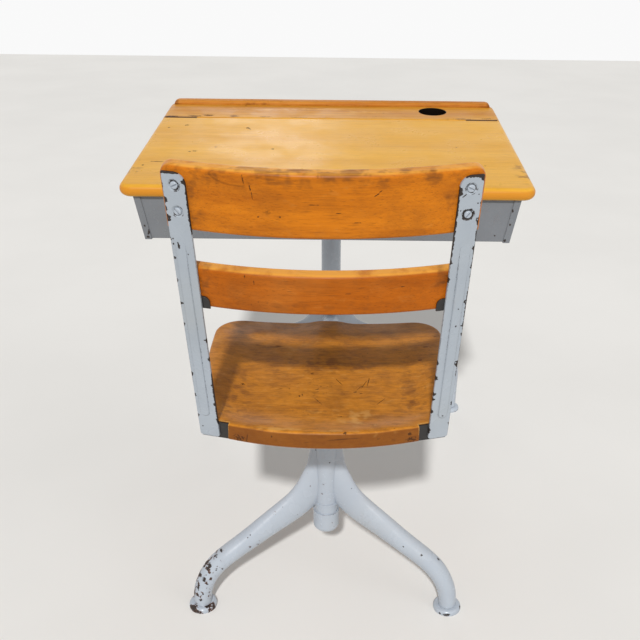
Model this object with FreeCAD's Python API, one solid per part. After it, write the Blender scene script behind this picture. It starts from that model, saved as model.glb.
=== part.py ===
import FreeCAD, Part
import math
import os

# School desk with a swivel seat, in millimetres.
# +Z is up from the floor, +Y runs from the seat to the desk, and +X is on the sitter's right.
# The pieces are modelled with the seat's swivel axis at x = y = 0. At the end the whole desk is moved
# along Y, so that its origin lies on the floor under the middle of its outline.

# General values
cut_overrun = 5.0
sheet_thickness = 1.5
seat_gap = 0.3

# Where the two pedestals stand, and the round steel posts on them
column_spacing = 430.0
post_radius = 19.0
post_wall = 3.0

# Rear pedestal
sleeve_bottom_z = 122.0
hub_top_z = 278.0
collar_height = 18.0
collar_radius = 27.0
weld_ring_z = 157.0
weld_ring_height = 4.0
weld_ring_radius = 20.5
cap_radius = 21.5
cap_height = 38.0
cap_overlap = 20.0
cap_floor = 4.0
cap_edge_round = 10.0

# Legs of the rear pedestal
rear_foot_x = 202.0
rear_foot_back = 76.0
rear_shoulder_z = 183.0
rear_ankle_z = 64.0
rear_shoulder_bend = 95.0
rear_ankle_bend = 88.0

# Legs of the desk pedestal
front_foot_x = 274.0
front_foot_forward = 140.0
front_hub_top_z = 352.0
front_shoulder_z = 272.0
front_ankle_z = 130.0
front_shoulder_bend = 95.0
front_ankle_bend = 66.0

# Tapered leg tube, oval near the post: its half height at the top, the shoulder, the ankle and the foot,
# and its half width as a share of that at the first two. Its middle plane passes the post's axis on the
# side away from the foot, by the set back.
leg_root_reach = 12.0
leg_set_back = 6.0
leg_top_radius = 14.5
leg_shoulder_radius = 27.0
leg_ankle_radius = 16.4
leg_foot_radius = 14.5
leg_top_side_share = 0.79
leg_shoulder_side_share = 0.5
leg_wall = 2.0
straight_station_count = 3
arc_station_count = 5
slope_station_count = 4

# Flange feet
foot_radius = 22.5
foot_height = 8.5
foot_rim = 4.0
foot_neck_radius = 17.5
foot_dome_bulge = 1.2

# Stretcher tube between the pedestals
stretcher_radius = 17.0
stretcher_wall = 2.0
stretcher_rear_z = 205.0
stretcher_front_z = 300.0
stretcher_bend = 140.0
stretcher_rise_shares = (0.256, 0.767)

# Desk column and its bracket
column_bottom_z = 240.0
plug_height = 8.0
bracket_socket_wall = 4.0
bracket_socket_height = 62.0
bracket_plate_width = 220.0
bracket_plate_depth = 110.0
bracket_plate_thickness = 5.0
bracket_corner_round = 14.0
bracket_rib_thickness = 5.0
bracket_rib_reach = 95.0
bolt_spacing_x = 180.0
bolt_spacing_y = 74.0
bolt_radius = 4.0
bolt_head_radius = 7.5
bolt_head_height = 4.5
head_dome_share = 0.65
nut_radius = 7.5
nut_height = 6.0
hexagon_sides = 6

# Desk top
top_width = 610.0
top_depth = 457.0
top_thickness = 19.0
top_front_y = 42.4
top_front_z = 677.6
top_slope_deg = 4.3
top_corner_radius = 20.0
top_edge_round = 9.0
strip_depth = 106.0
lid_joint_gap = 1.2
lid_joint_round = 3.5
inkwell_radius = 25.0
inkwell_x = 186.0
inkwell_from_back = 53.5
rail_depth = 22.0
rail_height = 7.0
rail_edge_round = 5.5
strip_screw_shares = (-0.8, -0.27, 0.27, 0.8)
strip_screw_bite = 12.0

# Book box
box_bottom_z = 594.5
box_front_inset = 12.0
box_back_inset = 20.0
box_side_inset = 20.5
box_side_draft_deg = 10.5
box_front_lip = 14.0
box_back_lip = 15.0
end_flange_width = 10.0
end_lip_width = 14.0

# Lid hinges
hinge_length = 56.0
hinge_from_side = 7.0
hinge_pin_radius = 1.5
hinge_barrel_radius = 3.0
hinge_axis_depth = 2.0
hinge_leaf_thickness = 1.5
hinge_leaf_height = 16.0
hinge_barrel_gap = 0.4
hinge_pocket_clearance = 0.5
running_clearance = 0.05
hinge_barrel_count = 3
hinge_screw_radius = 1.6
hinge_screw_head_radius = 2.8
hinge_screw_length = 14.0
hinge_screw_share = 0.62

# Seat spindle and its bearings
spindle_radius = 12.7
spindle_top_z = 362.0
spindle_end_radius = 8.0
spindle_end_z = 112.5
bush_length = 30.0
end_washer_radius = 15.0
end_washer_thickness = 2.4
end_nut_radius = 12.0
end_nut_height = 7.0
thrust_washer_radius = 21.5
thrust_washer_thickness = 2.0

# Seat spider under the seat, and its stop
swivel_range_deg = 45.0
stop_lug_half_deg = 7.0
stop_clearance_deg = 0.6
stop_lug_height = 8.0
stop_slot_extra = 1.2
stop_lug_inner_radius = 22.6
stop_slot_inner_radius = 22.0
spider_hub_radius = 20.0
spider_flange_height = 6.0
spider_plate_radius = 44.0
spider_plate_thickness = 6.0
spider_arm_reach_x = 92.0
spider_arm_reach_y = 84.0
spider_arm_width = 24.0
spider_arm_root_height = 46.0
spider_arm_tip_height = 7.0
spider_pad_radius = 17.0
screw_radius = 3.0
screw_head_radius = 6.0
screw_head_height = 3.0
screw_bite = 14.0

# Saddle seat
seat_bottom_z = 381.0
seat_thickness = 25.0
seat_front_y = 175.0
seat_back_y = -188.0
seat_front_half_width = 187.0
seat_middle_half_width = 188.5
seat_back_half_width = 171.0
seat_middle_y = 70.0
seat_front_corner_radius = 48.0
seat_back_radius = 400.0
seat_back_corner_radius = 18.0
seat_dish_depth = 9.0
seat_ridge_height = 5.0
seat_front_fall = 5.0
seat_edge_round = 4.0
seat_bottom_round = 4.0
scoop_side_border = 24.0
scoop_back_border = 13.0
scoop_wall_width = 58.0
scoop_front_start_share = 0.42
thigh_half_width_share = 0.92
ridge_half_width_share = 0.22
surface_rows = 25

# Back: two uprights and two slats
back_lean_deg = 10.1
back_turn_deg = 15.0
back_foot_y = -151.0
upright_bottom_half_spacing = 156.8
upright_top_half_spacing = 168.5
upright_length = 395.0
upright_width = 28.0
upright_thickness = 3.0
upright_corner_radius = 14.0
upright_bottom_chamfer = 2.5
rib_width = 13.0
rib_height = 2.5
rib_offset = 2.5
rib_bottom = 37.0
rib_from_top = 89.0
rib_fade_length = 60.0
rib_edge_round = 2.0
slat_thickness = 20.0
slat_contact_half_spacing = 165.0
slat_edge_round = 6.0
top_slat_from_top = 75.0
top_slat_height = 82.5
top_slat_corner_radius = 15.0
top_slat_overhang = 3.5
lower_slat_from_top = 182.5
lower_slat_height = 57.0
lower_slat_half_length = 166.0
clip_thickness = 2.0
clip_outer_reach = 10.0
clip_top_reach = 12.6
clip_bottom_reach = 24.0
clip_foot_height = 17.0
clip_foot_round = 8.0
clip_rivet_radius = 2.2
clip_rivet_head_radius = 4.6
clip_rivet_head_height = 2.0
clip_rivet_side = 4.0
clip_rivet_spacing = 28.0
top_screw_from_end = 16.0
slat_screw_spacing = 33.0
slat_screw_radius = 2.6
slat_screw_head_radius = 5.0
slat_screw_head_height = 2.4
slat_screw_sink_radius = 7.5
slat_screw_sink_depth = 1.5
slat_screw_bite = 13.0
screw_slot_width = 1.3
screw_slot_depth = 1.1
screw_slot_turns_deg = (24.0, -52.0)
angle_thickness = 3.0
angle_inner_reach = 29.0
angle_outer_reach = 12.0
angle_height = 23.5
angle_foot_length = 72.0
angle_screw_shares = (0.45, 0.85)

# Places worked out from the sizes above
Vector = FreeCAD.Vector
up = Vector(0, 0, 1)
sideways = Vector(1, 0, 0)
forward = Vector(0, 1, 0)
top_slope = math.radians(top_slope_deg)
sleeve_top_z = hub_top_z + collar_height
spider_bottom_z = sleeve_top_z + thrust_washer_thickness + seat_gap
lid_depth = top_depth - strip_depth
back_turn = math.radians(back_turn_deg)
slat_back_radius = slat_contact_half_spacing / math.sin(back_turn)
top_slat_bottom = upright_length - top_slat_from_top
lower_slat_bottom = upright_length - lower_slat_from_top
rib_top = upright_length - rib_from_top


def block(x_low, x_high, y_low, y_high, z_low, z_high):
    size = (x_high - x_low, y_high - y_low, z_high - z_low)
    return Part.makeBox(*size, Vector(x_low, y_low, z_low))


def round_bar(radius, start, end):
    axis = end - start
    return Part.makeCylinder(radius, axis.Length, start, axis)


def ring(outer_radius, inner_radius, bottom_z, top_z, y=0.0):
    start = Vector(0, y, bottom_z)
    end = Vector(0, y, top_z)
    bore_start = start - up * cut_overrun
    bore_end = end + up * cut_overrun
    return round_bar(outer_radius, start, end).cut(round_bar(inner_radius, bore_start, bore_end))


def hexagon_bar(radius, bottom_z, height, x=0.0, y=0.0):
    corners = []
    for side in range(hexagon_sides + 1):
        angle = 2 * math.pi * side / hexagon_sides
        corners.append(Vector(x + radius * math.cos(angle), y + radius * math.sin(angle), bottom_z))
    return Part.Face(Part.makePolygon(corners)).extrude(up * height)


def turned(shape, axis, degrees, centre=Vector(0, 0, 0)):
    copy = shape.copy()
    copy.rotate(centre, axis, degrees)
    return copy


def moved(shape, offset):
    copy = shape.copy()
    copy.translate(offset)
    return copy


def mirrored(shape):
    return shape.mirror(Vector(0, 0, 0), sideways)


def prism(corners, extent):
    outline = Part.makePolygon(corners + [corners[0]])
    return Part.Face(outline).extrude(extent)


def rounded_edges(points, radii, closed):
    """Straight runs joined by tangent arcs: radii holds one value per point, zero for a sharp corner."""
    count = len(points)
    entries = []
    exits = []
    middles = []
    for index, (point, radius) in enumerate(zip(points, radii)):
        at_end = not closed and index in (0, count - 1)
        if at_end or radius == 0:
            entries.append(point)
            exits.append(point)
            middles.append(None)
            continue
        back = (points[index - 1] - point).normalize()
        ahead = (points[(index + 1) % count] - point).normalize()
        half_angle = back.getAngle(ahead) / 2
        reach = radius / math.tan(half_angle)
        bisector = (back + ahead).normalize()
        entries.append(point + back * reach)
        exits.append(point + ahead * reach)
        middles.append(point + bisector * (radius / math.sin(half_angle) - radius))
    edges = []
    for index in range(count):
        if middles[index] is not None:
            edges.append(Part.Arc(entries[index], middles[index], exits[index]).toShape())
        following = index + 1
        if following == count and not closed:
            break
        following %= count
        if exits[index].distanceToPoint(entries[following]) > running_clearance:
            edges.append(Part.LineSegment(exits[index], entries[following]).toShape())
    return edges


def rounded_prism(points, radii, extent):
    outline = Part.Wire(rounded_edges(points, radii, True))
    return Part.Face(outline).extrude(extent)


def rounded_plate(x_low, x_high, y_low, y_high, bottom_z, thickness, radius):
    points = [
        Vector(x_low, y_low, bottom_z),
        Vector(x_high, y_low, bottom_z),
        Vector(x_high, y_high, bottom_z),
        Vector(x_low, y_high, bottom_z),
    ]
    return rounded_prism(points, [radius] * len(points), up * thickness)


def revolved(profile_edges):
    face = Part.Face(Part.Wire(profile_edges))
    return face.revolve(Vector(0, 0, 0), up, 360)


def edges_where(shape, test):
    return [edge for edge in shape.Edges if test(edge)]


def middle_of(edge):
    return edge.valueAt((edge.FirstParameter + edge.LastParameter) / 2)


def fused(shapes):
    result = shapes[0].fuse(shapes[1:])
    return result.removeSplitter()


# Legs and feet


def smooth_step(share):
    return share * share * (3 - 2 * share)


def leg_size_at(travelled, marks):
    """Half height and half width of the leg, from marks that give both at a travelled length."""
    for (start, *start_size), (end, *end_size) in zip(marks, marks[1:]):
        if travelled <= end:
            share = smooth_step((travelled - start) / (end - start))
            return [first + (second - first) * share for first, second in zip(start_size, end_size)]
    return marks[-1][1:]


def leg_section(half_height, half_width, centre, heading):
    oval = Part.Ellipse(Vector(0, 0, 0), half_height, half_width).toShape()
    oval.rotate(Vector(0, 0, 0), forward, math.degrees(math.atan2(heading.x, heading.z)))
    oval.translate(centre)
    return Part.Wire(oval)


def leg_loft(path_edges, marks, shrink):
    end_counts = [straight_station_count, arc_station_count]
    counts = [*end_counts, slope_station_count, *reversed(end_counts)]
    sections = []
    travelled = 0.0
    for edge, count in zip(path_edges, counts):
        last = edge is path_edges[-1]
        steps = count + 1 if last else count
        for step in range(steps):
            share = step / count
            parameter = edge.FirstParameter + (edge.LastParameter - edge.FirstParameter) * share
            centre = edge.valueAt(parameter)
            heading = edge.tangentAt(parameter)
            half_height, half_width = leg_size_at(travelled + edge.Length * share, marks)
            sections.append(leg_section(half_height - shrink, half_width - shrink, centre, heading))
        travelled += edge.Length
    return Part.makeLoft(sections, True, False)


def bent_leg(foot_x, foot_y, top_z, shoulder_z, ankle_z, shoulder_bend, ankle_bend):
    """Right-hand leg of a pedestal whose post stands at x = y = 0, coped round the post."""
    root_y = -math.copysign(leg_set_back, foot_y)
    reach = math.hypot(foot_x, foot_y - root_y)
    points = [
        Vector(leg_root_reach, 0, top_z),
        Vector(leg_root_reach, 0, shoulder_z),
        Vector(reach, 0, ankle_z),
        Vector(reach, 0, foot_height),
    ]
    path_edges = rounded_edges(points, [0, shoulder_bend, ankle_bend, 0], False)
    lengths = [edge.Length for edge in path_edges]
    marks = [
        (0.0, leg_top_radius, leg_top_radius * leg_top_side_share),
        (lengths[0] + lengths[1] / 2, leg_shoulder_radius, leg_shoulder_radius * leg_shoulder_side_share),
        (sum(lengths[:3]), leg_ankle_radius, leg_ankle_radius),
        (sum(lengths), leg_foot_radius, leg_foot_radius),
    ]
    shell = leg_loft(path_edges, marks, 0.0).cut(leg_loft(path_edges, marks, leg_wall))
    shell = turned(shell, up, math.degrees(math.atan2(foot_y - root_y, foot_x)))
    shell = moved(shell, Vector(0, root_y, 0))
    post = round_bar(post_radius, Vector(0, 0, 0), Vector(0, 0, top_z + cut_overrun))
    other_side = block(-reach, 0, -reach, reach, 0, top_z + cut_overrun)
    return largest_solid(shell.cut(post).cut(other_side))


def largest_solid(shape):
    return max(shape.Solids, key=lambda solid: solid.Volume)


def flange_foot(x, y):
    rim_top = Vector(foot_radius, 0, foot_rim)
    neck = Vector(foot_neck_radius, 0, foot_height)
    chord_middle = (rim_top + neck) / 2
    outward = Vector(neck.z - rim_top.z, 0, rim_top.x - neck.x).normalize()
    dome = Part.Arc(rim_top, chord_middle + outward * foot_dome_bulge, neck).toShape()
    centre = Vector(0, 0, 0)
    rim_bottom = Vector(foot_radius, 0, 0)
    centre_top = Vector(0, 0, foot_height)
    profile = [
        Part.LineSegment(centre, rim_bottom).toShape(),
        Part.LineSegment(rim_bottom, rim_top).toShape(),
        dome,
        Part.LineSegment(neck, centre_top).toShape(),
        Part.LineSegment(centre_top, centre).toShape(),
    ]
    return moved(revolved(profile), Vector(x, y, 0))


# Rear pedestal


def rear_sleeve():
    tube = ring(post_radius, post_radius - post_wall, sleeve_bottom_z, sleeve_top_z)
    band = ring(weld_ring_radius, post_radius, weld_ring_z, weld_ring_z + weld_ring_height)
    return fused([tube, band])


def rear_sleeve_cap():
    bottom_z = sleeve_bottom_z + cap_overlap - cap_height
    top_z = sleeve_bottom_z + cap_overlap
    cup = round_bar(cap_radius, Vector(0, 0, bottom_z), Vector(0, 0, top_z))
    lower_rim = edges_where(cup, lambda edge: abs(edge.CenterOfMass.z - bottom_z) < seat_gap and edge.Closed)
    cup = cup.makeFillet(cap_edge_round, lower_rim)
    room = round_bar(post_radius - post_wall, Vector(0, 0, bottom_z + cap_floor), Vector(0, 0, top_z))
    mouth = round_bar(post_radius, Vector(0, 0, sleeve_bottom_z), Vector(0, 0, top_z + cut_overrun))
    return cup.cut(room).cut(mouth)


def bearing_bush(bottom_z):
    bore = spindle_radius + running_clearance
    return ring(post_radius - post_wall, bore, bottom_z, bottom_z + bush_length)


def sector(outer_radius, inner_radius, half_angle_deg, bottom_z, top_z):
    """Ring sector round the swivel axis, centred on the forward direction."""
    start_angle = math.radians(90 - half_angle_deg)
    end_angle = math.radians(90 + half_angle_deg)
    edges = []
    corners = []
    for radius in (outer_radius, inner_radius):
        places = []
        for angle in (start_angle, math.pi / 2, end_angle):
            places.append(Vector(radius * math.cos(angle), radius * math.sin(angle), bottom_z))
        edges.append(Part.Arc(*places).toShape())
        corners.append((places[0], places[-1]))
    edges.append(Part.LineSegment(corners[0][0], corners[1][0]).toShape())
    edges.append(Part.LineSegment(corners[0][1], corners[1][1]).toShape())
    outline = Part.Wire(Part.__sortEdges__(edges))
    return Part.Face(outline).extrude(up * (top_z - bottom_z))


def swivel_collar():
    collar = ring(collar_radius, post_radius, hub_top_z, sleeve_top_z)
    half_angle = swivel_range_deg + stop_lug_half_deg + stop_clearance_deg
    slot_floor_z = sleeve_top_z - stop_lug_height - stop_slot_extra + thrust_washer_thickness
    slot_outer_radius = collar_radius + cut_overrun
    slot_top_z = sleeve_top_z + cut_overrun
    return collar.cut(sector(slot_outer_radius, stop_slot_inner_radius, half_angle, slot_floor_z, slot_top_z))


def thrust_washer():
    bore = spindle_radius + running_clearance
    return ring(thrust_washer_radius, bore, sleeve_top_z, sleeve_top_z + thrust_washer_thickness)


def seat_spindle():
    body = round_bar(spindle_radius, Vector(0, 0, sleeve_bottom_z), Vector(0, 0, spindle_top_z))
    end = round_bar(spindle_end_radius, Vector(0, 0, spindle_end_z), Vector(0, 0, sleeve_bottom_z))
    return fused([body, end])


def spindle_washer():
    top_z = sleeve_bottom_z - seat_gap
    return ring(end_washer_radius, spindle_end_radius, top_z - end_washer_thickness, top_z)


def spindle_nut():
    top_z = sleeve_bottom_z - seat_gap - end_washer_thickness
    nut = hexagon_bar(end_nut_radius, top_z - end_nut_height, end_nut_height)
    return nut.cut(round_bar(spindle_end_radius, Vector(0, 0, spindle_end_z), Vector(0, 0, sleeve_bottom_z)))


def rear_leg():
    return bent_leg(rear_foot_x, -rear_foot_back, hub_top_z, rear_shoulder_z, rear_ankle_z,
                    rear_shoulder_bend, rear_ankle_bend).cut(weld_band())


def weld_band():
    return round_bar(weld_ring_radius, Vector(0, 0, weld_ring_z), Vector(0, 0, weld_ring_z + weld_ring_height))


# Desk pedestal


def front_leg():
    leg = bent_leg(front_foot_x, front_foot_forward, front_hub_top_z, front_shoulder_z, front_ankle_z,
                   front_shoulder_bend, front_ankle_bend)
    return moved(leg, Vector(0, column_spacing, 0))


def stretcher_tube(legs):
    rise_start, rise_end = [share * column_spacing for share in stretcher_rise_shares]
    points = [
        Vector(0, 0, stretcher_rear_z),
        Vector(0, rise_start, stretcher_rear_z),
        Vector(0, rise_end, stretcher_front_z),
        Vector(0, column_spacing, stretcher_front_z),
    ]
    path = Part.Wire(rounded_edges(points, [0, stretcher_bend, stretcher_bend, 0], False))
    outer = Part.Wire(Part.makeCircle(stretcher_radius, points[0], forward))
    inner = Part.Wire(Part.makeCircle(stretcher_radius - stretcher_wall, points[0], forward))
    tube = path.makePipeShell([outer], True, False).cut(path.makePipeShell([inner], True, False))
    for y in (0.0, column_spacing):
        tube = tube.cut(round_bar(post_radius, Vector(0, y, 0), Vector(0, y, top_front_z)))
    for leg in legs:
        tube = tube.cut(leg)
    return largest_solid(tube)


def front_column():
    top_z = box_bottom_z - bracket_plate_thickness
    return ring(post_radius, post_radius - post_wall, column_bottom_z, top_z, column_spacing)


def column_plug():
    bottom_z = column_bottom_z - plug_height
    top = Vector(0, column_spacing, column_bottom_z)
    plug = round_bar(cap_radius, top - up * plug_height, top)
    lower_rim = edges_where(plug, lambda edge: abs(edge.CenterOfMass.z - bottom_z) < seat_gap and edge.Closed)
    return plug.makeFillet(plug_height / 2, lower_rim)


def bracket_bolt_places():
    places = []
    for side_x in (-1, 1):
        for side_y in (-1, 1):
            places.append((side_x * bolt_spacing_x / 2, column_spacing + side_y * bolt_spacing_y / 2))
    return places


def desk_bracket():
    top_z = box_bottom_z
    plate_bottom_z = top_z - bracket_plate_thickness
    half_width = bracket_plate_width / 2
    half_depth = bracket_plate_depth / 2
    plate = rounded_plate(-half_width, half_width, column_spacing - half_depth, column_spacing + half_depth,
                          plate_bottom_z, bracket_plate_thickness, bracket_corner_round)
    socket_radius = post_radius + bracket_socket_wall
    socket_bottom_z = plate_bottom_z - bracket_socket_height
    socket = ring(socket_radius, post_radius, socket_bottom_z, plate_bottom_z, column_spacing)
    pieces = [plate, socket]
    rib_y = column_spacing - bracket_rib_thickness / 2
    column_middle = Vector(0, column_spacing, 0)
    post = round_bar(post_radius, column_middle + up * socket_bottom_z, column_middle + up * plate_bottom_z)
    for side in (-1, 1):
        corners = [
            Vector(side * post_radius, rib_y, plate_bottom_z),
            Vector(side * bracket_rib_reach, rib_y, plate_bottom_z),
            Vector(side * socket_radius, rib_y, socket_bottom_z),
            Vector(side * post_radius, rib_y, socket_bottom_z),
        ]
        pieces.append(prism(corners, forward * bracket_rib_thickness).cut(post))
    bracket = fused(pieces)
    for x, y in bracket_bolt_places():
        start = Vector(x, y, plate_bottom_z - cut_overrun)
        bracket = bracket.cut(round_bar(bolt_radius, start, Vector(x, y, top_z + cut_overrun)))
    return bracket


def bracket_bolts():
    bolts = []
    head_bottom_z = box_bottom_z + sheet_thickness
    shank_bottom_z = box_bottom_z - bracket_plate_thickness - nut_height
    for x, y in bracket_bolt_places():
        head_top_z = head_bottom_z + bolt_head_height
        head = round_bar(bolt_head_radius, Vector(x, y, head_bottom_z), Vector(x, y, head_top_z))
        upper_rim = edges_where(head, lambda edge: edge.Closed and on_level(edge, head_top_z))
        head = head.makeFillet(bolt_head_height * head_dome_share, upper_rim)
        shank = round_bar(bolt_radius, Vector(x, y, shank_bottom_z), Vector(x, y, head_bottom_z))
        bolts.append(fused([head, shank]))
    return Part.makeCompound(bolts)


def bracket_nuts():
    nuts = []
    top_z = box_bottom_z - bracket_plate_thickness
    for x, y in bracket_bolt_places():
        nut = hexagon_bar(nut_radius, top_z - nut_height, nut_height, x, y)
        hole_start = Vector(x, y, top_z - nut_height - cut_overrun)
        nuts.append(nut.cut(round_bar(bolt_radius, hole_start, Vector(x, y, top_z))))
    return Part.makeCompound(nuts)


# Desk top. Its pieces are drawn flat, with y from the front edge and z = 0 on the upper face, then laid on
# the slope.


def on_slope(shape):
    return moved(turned(shape, sideways, top_slope_deg), Vector(0, top_front_y, top_front_z))


def board(y_low, y_high, front_radius, back_radius):
    half_width = top_width / 2
    points = [
        Vector(-half_width, y_low, -top_thickness),
        Vector(half_width, y_low, -top_thickness),
        Vector(half_width, y_high, -top_thickness),
        Vector(-half_width, y_high, -top_thickness),
    ]
    return rounded_prism(points, [front_radius, front_radius, back_radius, back_radius], up * top_thickness)


def on_level(edge, z):
    return abs(edge.BoundBox.ZMin - z) < seat_gap and abs(edge.BoundBox.ZMax - z) < seat_gap


def along_joint(edge, y):
    return abs(edge.BoundBox.YMin - y) < seat_gap and abs(edge.BoundBox.YMax - y) < seat_gap


def hinge_ends():
    outer_x = top_width / 2 - hinge_from_side
    return outer_x - hinge_length, outer_x


def hinge_pocket(radius, side):
    x_low, x_high = hinge_ends()
    start = Vector(side * (x_low - running_clearance), lid_depth, -hinge_axis_depth)
    end = Vector(side * (x_high + running_clearance), lid_depth, -hinge_axis_depth)
    return round_bar(radius, start, end)


def hinge_leaf_plate(side, toward_back):
    x_low, x_high = hinge_ends()
    near = lid_depth + toward_back * lid_joint_gap / 2
    far = near + toward_back * hinge_leaf_thickness
    x_range = sorted((side * x_low, side * x_high))
    y_range = sorted((near, far))
    return block(*x_range, *y_range, -hinge_axis_depth - hinge_leaf_height, -hinge_axis_depth)


def lid():
    back_edge = lid_depth - lid_joint_gap / 2
    shape = board(0.0, back_edge, top_corner_radius, 0)
    rim = edges_where(shape, lambda edge: (on_level(edge, 0) or on_level(edge, -top_thickness))
                      and not along_joint(edge, back_edge))
    shape = shape.makeFillet(top_edge_round, rim)
    joint = edges_where(shape, lambda edge: on_level(edge, 0) and along_joint(edge, back_edge))
    shape = shape.makeFillet(lid_joint_round, joint)
    for side in (-1, 1):
        shape = shape.cut(hinge_pocket(hinge_barrel_radius + hinge_pocket_clearance, side))
        shape = shape.cut(hinge_leaf_plate(side, -1))
        for screw in hinge_screws(side, -1):
            shape = shape.cut(screw)
    return on_slope(shape)


def rear_strip():
    front_edge = lid_depth + lid_joint_gap / 2
    shape = board(front_edge, top_depth, 0, top_corner_radius)
    rim = edges_where(shape, lambda edge: on_level(edge, -top_thickness) and not along_joint(edge, front_edge))
    sides = edges_where(shape, lambda edge: on_level(edge, 0) and edge.BoundBox.XLength < seat_gap)
    shape = shape.makeFillet(top_edge_round, rim + sides)
    joint = edges_where(shape, lambda edge: on_level(edge, 0) and along_joint(edge, front_edge))
    shape = shape.makeFillet(lid_joint_round, joint)
    hole_y = top_depth - inkwell_from_back
    hole_start = Vector(inkwell_x, hole_y, -top_thickness - cut_overrun)
    shape = shape.cut(round_bar(inkwell_radius, hole_start, Vector(inkwell_x, hole_y, cut_overrun)))
    for side in (-1, 1):
        shape = shape.cut(hinge_pocket(hinge_barrel_radius + hinge_pocket_clearance, side))
        shape = shape.cut(hinge_leaf_plate(side, 1))
        for screw in hinge_screws(side, 1):
            shape = shape.cut(screw)
    for screw in flat_strip_screws():
        shape = shape.cut(screw)
    return on_slope(shape)


def flat_strip_screws():
    """Screws driven up through the back lip of the book box into the strip."""
    y = place_under_wood(box_back_y() + (box_back_lip - sheet_thickness) / 2)
    head_top = -top_thickness - sheet_thickness
    screws = []
    for share in strip_screw_shares:
        place = Vector(share * top_width / 2, y, head_top)
        head = round_bar(screw_head_radius, place - up * screw_head_height, place)
        shank = round_bar(screw_radius, place, place + up * (sheet_thickness + strip_screw_bite))
        screws.append(fused([head, shank]))
    return screws


def strip_screws():
    return Part.makeCompound([on_slope(screw) for screw in flat_strip_screws()])


def back_rail():
    half_length = top_width / 2 - top_edge_round
    corner = top_corner_radius - top_edge_round
    points = [
        Vector(-half_length, top_depth - rail_depth, 0),
        Vector(half_length, top_depth - rail_depth, 0),
        Vector(half_length, top_depth, 0),
        Vector(-half_length, top_depth, 0),
    ]
    rail = rounded_prism(points, [0, 0, corner, corner], up * rail_height)
    upper = edges_where(rail, lambda edge: on_level(edge, rail_height))
    return on_slope(rail.makeFillet(rail_edge_round, upper))


# Hinges


def hinge_barrel(side, index):
    x_low, x_high = hinge_ends()
    pitch = hinge_length / hinge_barrel_count
    start_x = x_low + pitch * index + (hinge_barrel_gap / 2 if index else 0)
    end_x = x_low + pitch * (index + 1) - (hinge_barrel_gap / 2 if index < hinge_barrel_count - 1 else 0)
    start = Vector(side * start_x, lid_depth, -hinge_axis_depth)
    end = Vector(side * end_x, lid_depth, -hinge_axis_depth)
    return round_bar(hinge_barrel_radius, start, end)


def hinge_leaf(side, toward_back, own_barrels, bore_radius):
    leaf = hinge_leaf_plate(side, toward_back)
    pitch = hinge_length / hinge_barrel_count
    x_low, x_high = hinge_ends()
    for index in range(hinge_barrel_count):
        if index in own_barrels:
            continue
        start_x = x_low + pitch * index - hinge_barrel_gap / 2
        end_x = x_low + pitch * (index + 1) + hinge_barrel_gap / 2
        start = Vector(side * start_x, lid_depth, -hinge_axis_depth)
        end = Vector(side * end_x, lid_depth, -hinge_axis_depth)
        leaf = leaf.cut(round_bar(hinge_barrel_radius + hinge_barrel_gap, start, end))
    barrels = [hinge_barrel(side, index) for index in own_barrels]
    leaf = leaf.fuse(barrels).removeSplitter()
    bore = round_bar(bore_radius, Vector(side * (x_low - cut_overrun), lid_depth, -hinge_axis_depth),
                     Vector(side * (x_high + cut_overrun), lid_depth, -hinge_axis_depth))
    leaf = leaf.cut(bore)
    for screw in hinge_screws(side, toward_back):
        leaf = leaf.cut(screw)
    return on_slope(leaf)


def lid_hinge_leaf(side):
    own = [index for index in range(hinge_barrel_count) if index % 2 == 0]
    return hinge_leaf(side, -1, own, hinge_pin_radius + running_clearance)


def strip_hinge_leaf(side):
    own = [index for index in range(hinge_barrel_count) if index % 2 == 1]
    return hinge_leaf(side, 1, own, hinge_pin_radius)


def hinge_pin(side):
    x_low, x_high = hinge_ends()
    start = Vector(side * x_low, lid_depth, -hinge_axis_depth)
    end = Vector(side * x_high, lid_depth, -hinge_axis_depth)
    return on_slope(round_bar(hinge_pin_radius, start, end))


def hinge_screws(side, toward_back):
    """Countersunk screws through one leaf into the wood, two per leaf, with their heads flush."""
    x_low, x_high = hinge_ends()
    pitch = hinge_length / hinge_barrel_count
    face = lid_depth + toward_back * lid_joint_gap / 2
    z = -hinge_axis_depth - hinge_leaf_height * hinge_screw_share
    screws = []
    for x in (x_low + pitch / 2, x_high - pitch / 2):
        start = Vector(side * x, face, z)
        along = forward * toward_back
        head = Part.makeCone(hinge_screw_head_radius, hinge_screw_radius, hinge_leaf_thickness, start, along)
        shank = round_bar(hinge_screw_radius, start, start + along * hinge_screw_length)
        screws.append(fused([head, shank]))
    return screws


def placed_hinge_screws(toward_back):
    screws = []
    for side in (-1, 1):
        screws += [on_slope(screw) for screw in hinge_screws(side, toward_back)]
    return Part.makeCompound(screws)


# Book box


def above_underside(thickness):
    """Space over the underside of the wood, or over a plane this much lower."""
    reach = top_depth + top_width
    slab = block(-reach, reach, -reach, reach, -top_thickness - thickness, reach)
    return on_slope(slab)


def box_half_width(z, inset):
    underside_z = top_front_z - top_thickness
    draft = math.tan(math.radians(box_side_draft_deg))
    return top_width / 2 - box_side_inset - (underside_z - z) * draft - inset


def box_front_y():
    return top_front_y + box_front_inset


def box_back_y():
    return top_front_y + (top_depth - box_back_inset) * math.cos(top_slope)


def box_block(grow, end_inset):
    """Outer form of the book box, grown outward at front, back and bottom, with its ends moved in."""
    bottom_z = box_bottom_z - grow
    top_z = top_front_z + rail_height + top_depth * math.sin(top_slope)
    low = box_half_width(bottom_z, end_inset)
    high = box_half_width(top_z, end_inset)
    y = box_front_y() - grow
    outline = ((-low, bottom_z), (low, bottom_z), (high, top_z), (-high, top_z))
    body = prism([Vector(x, y, z) for x, z in outline], forward * (box_back_y() + grow - y))
    return body.cut(above_underside(0))


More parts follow.
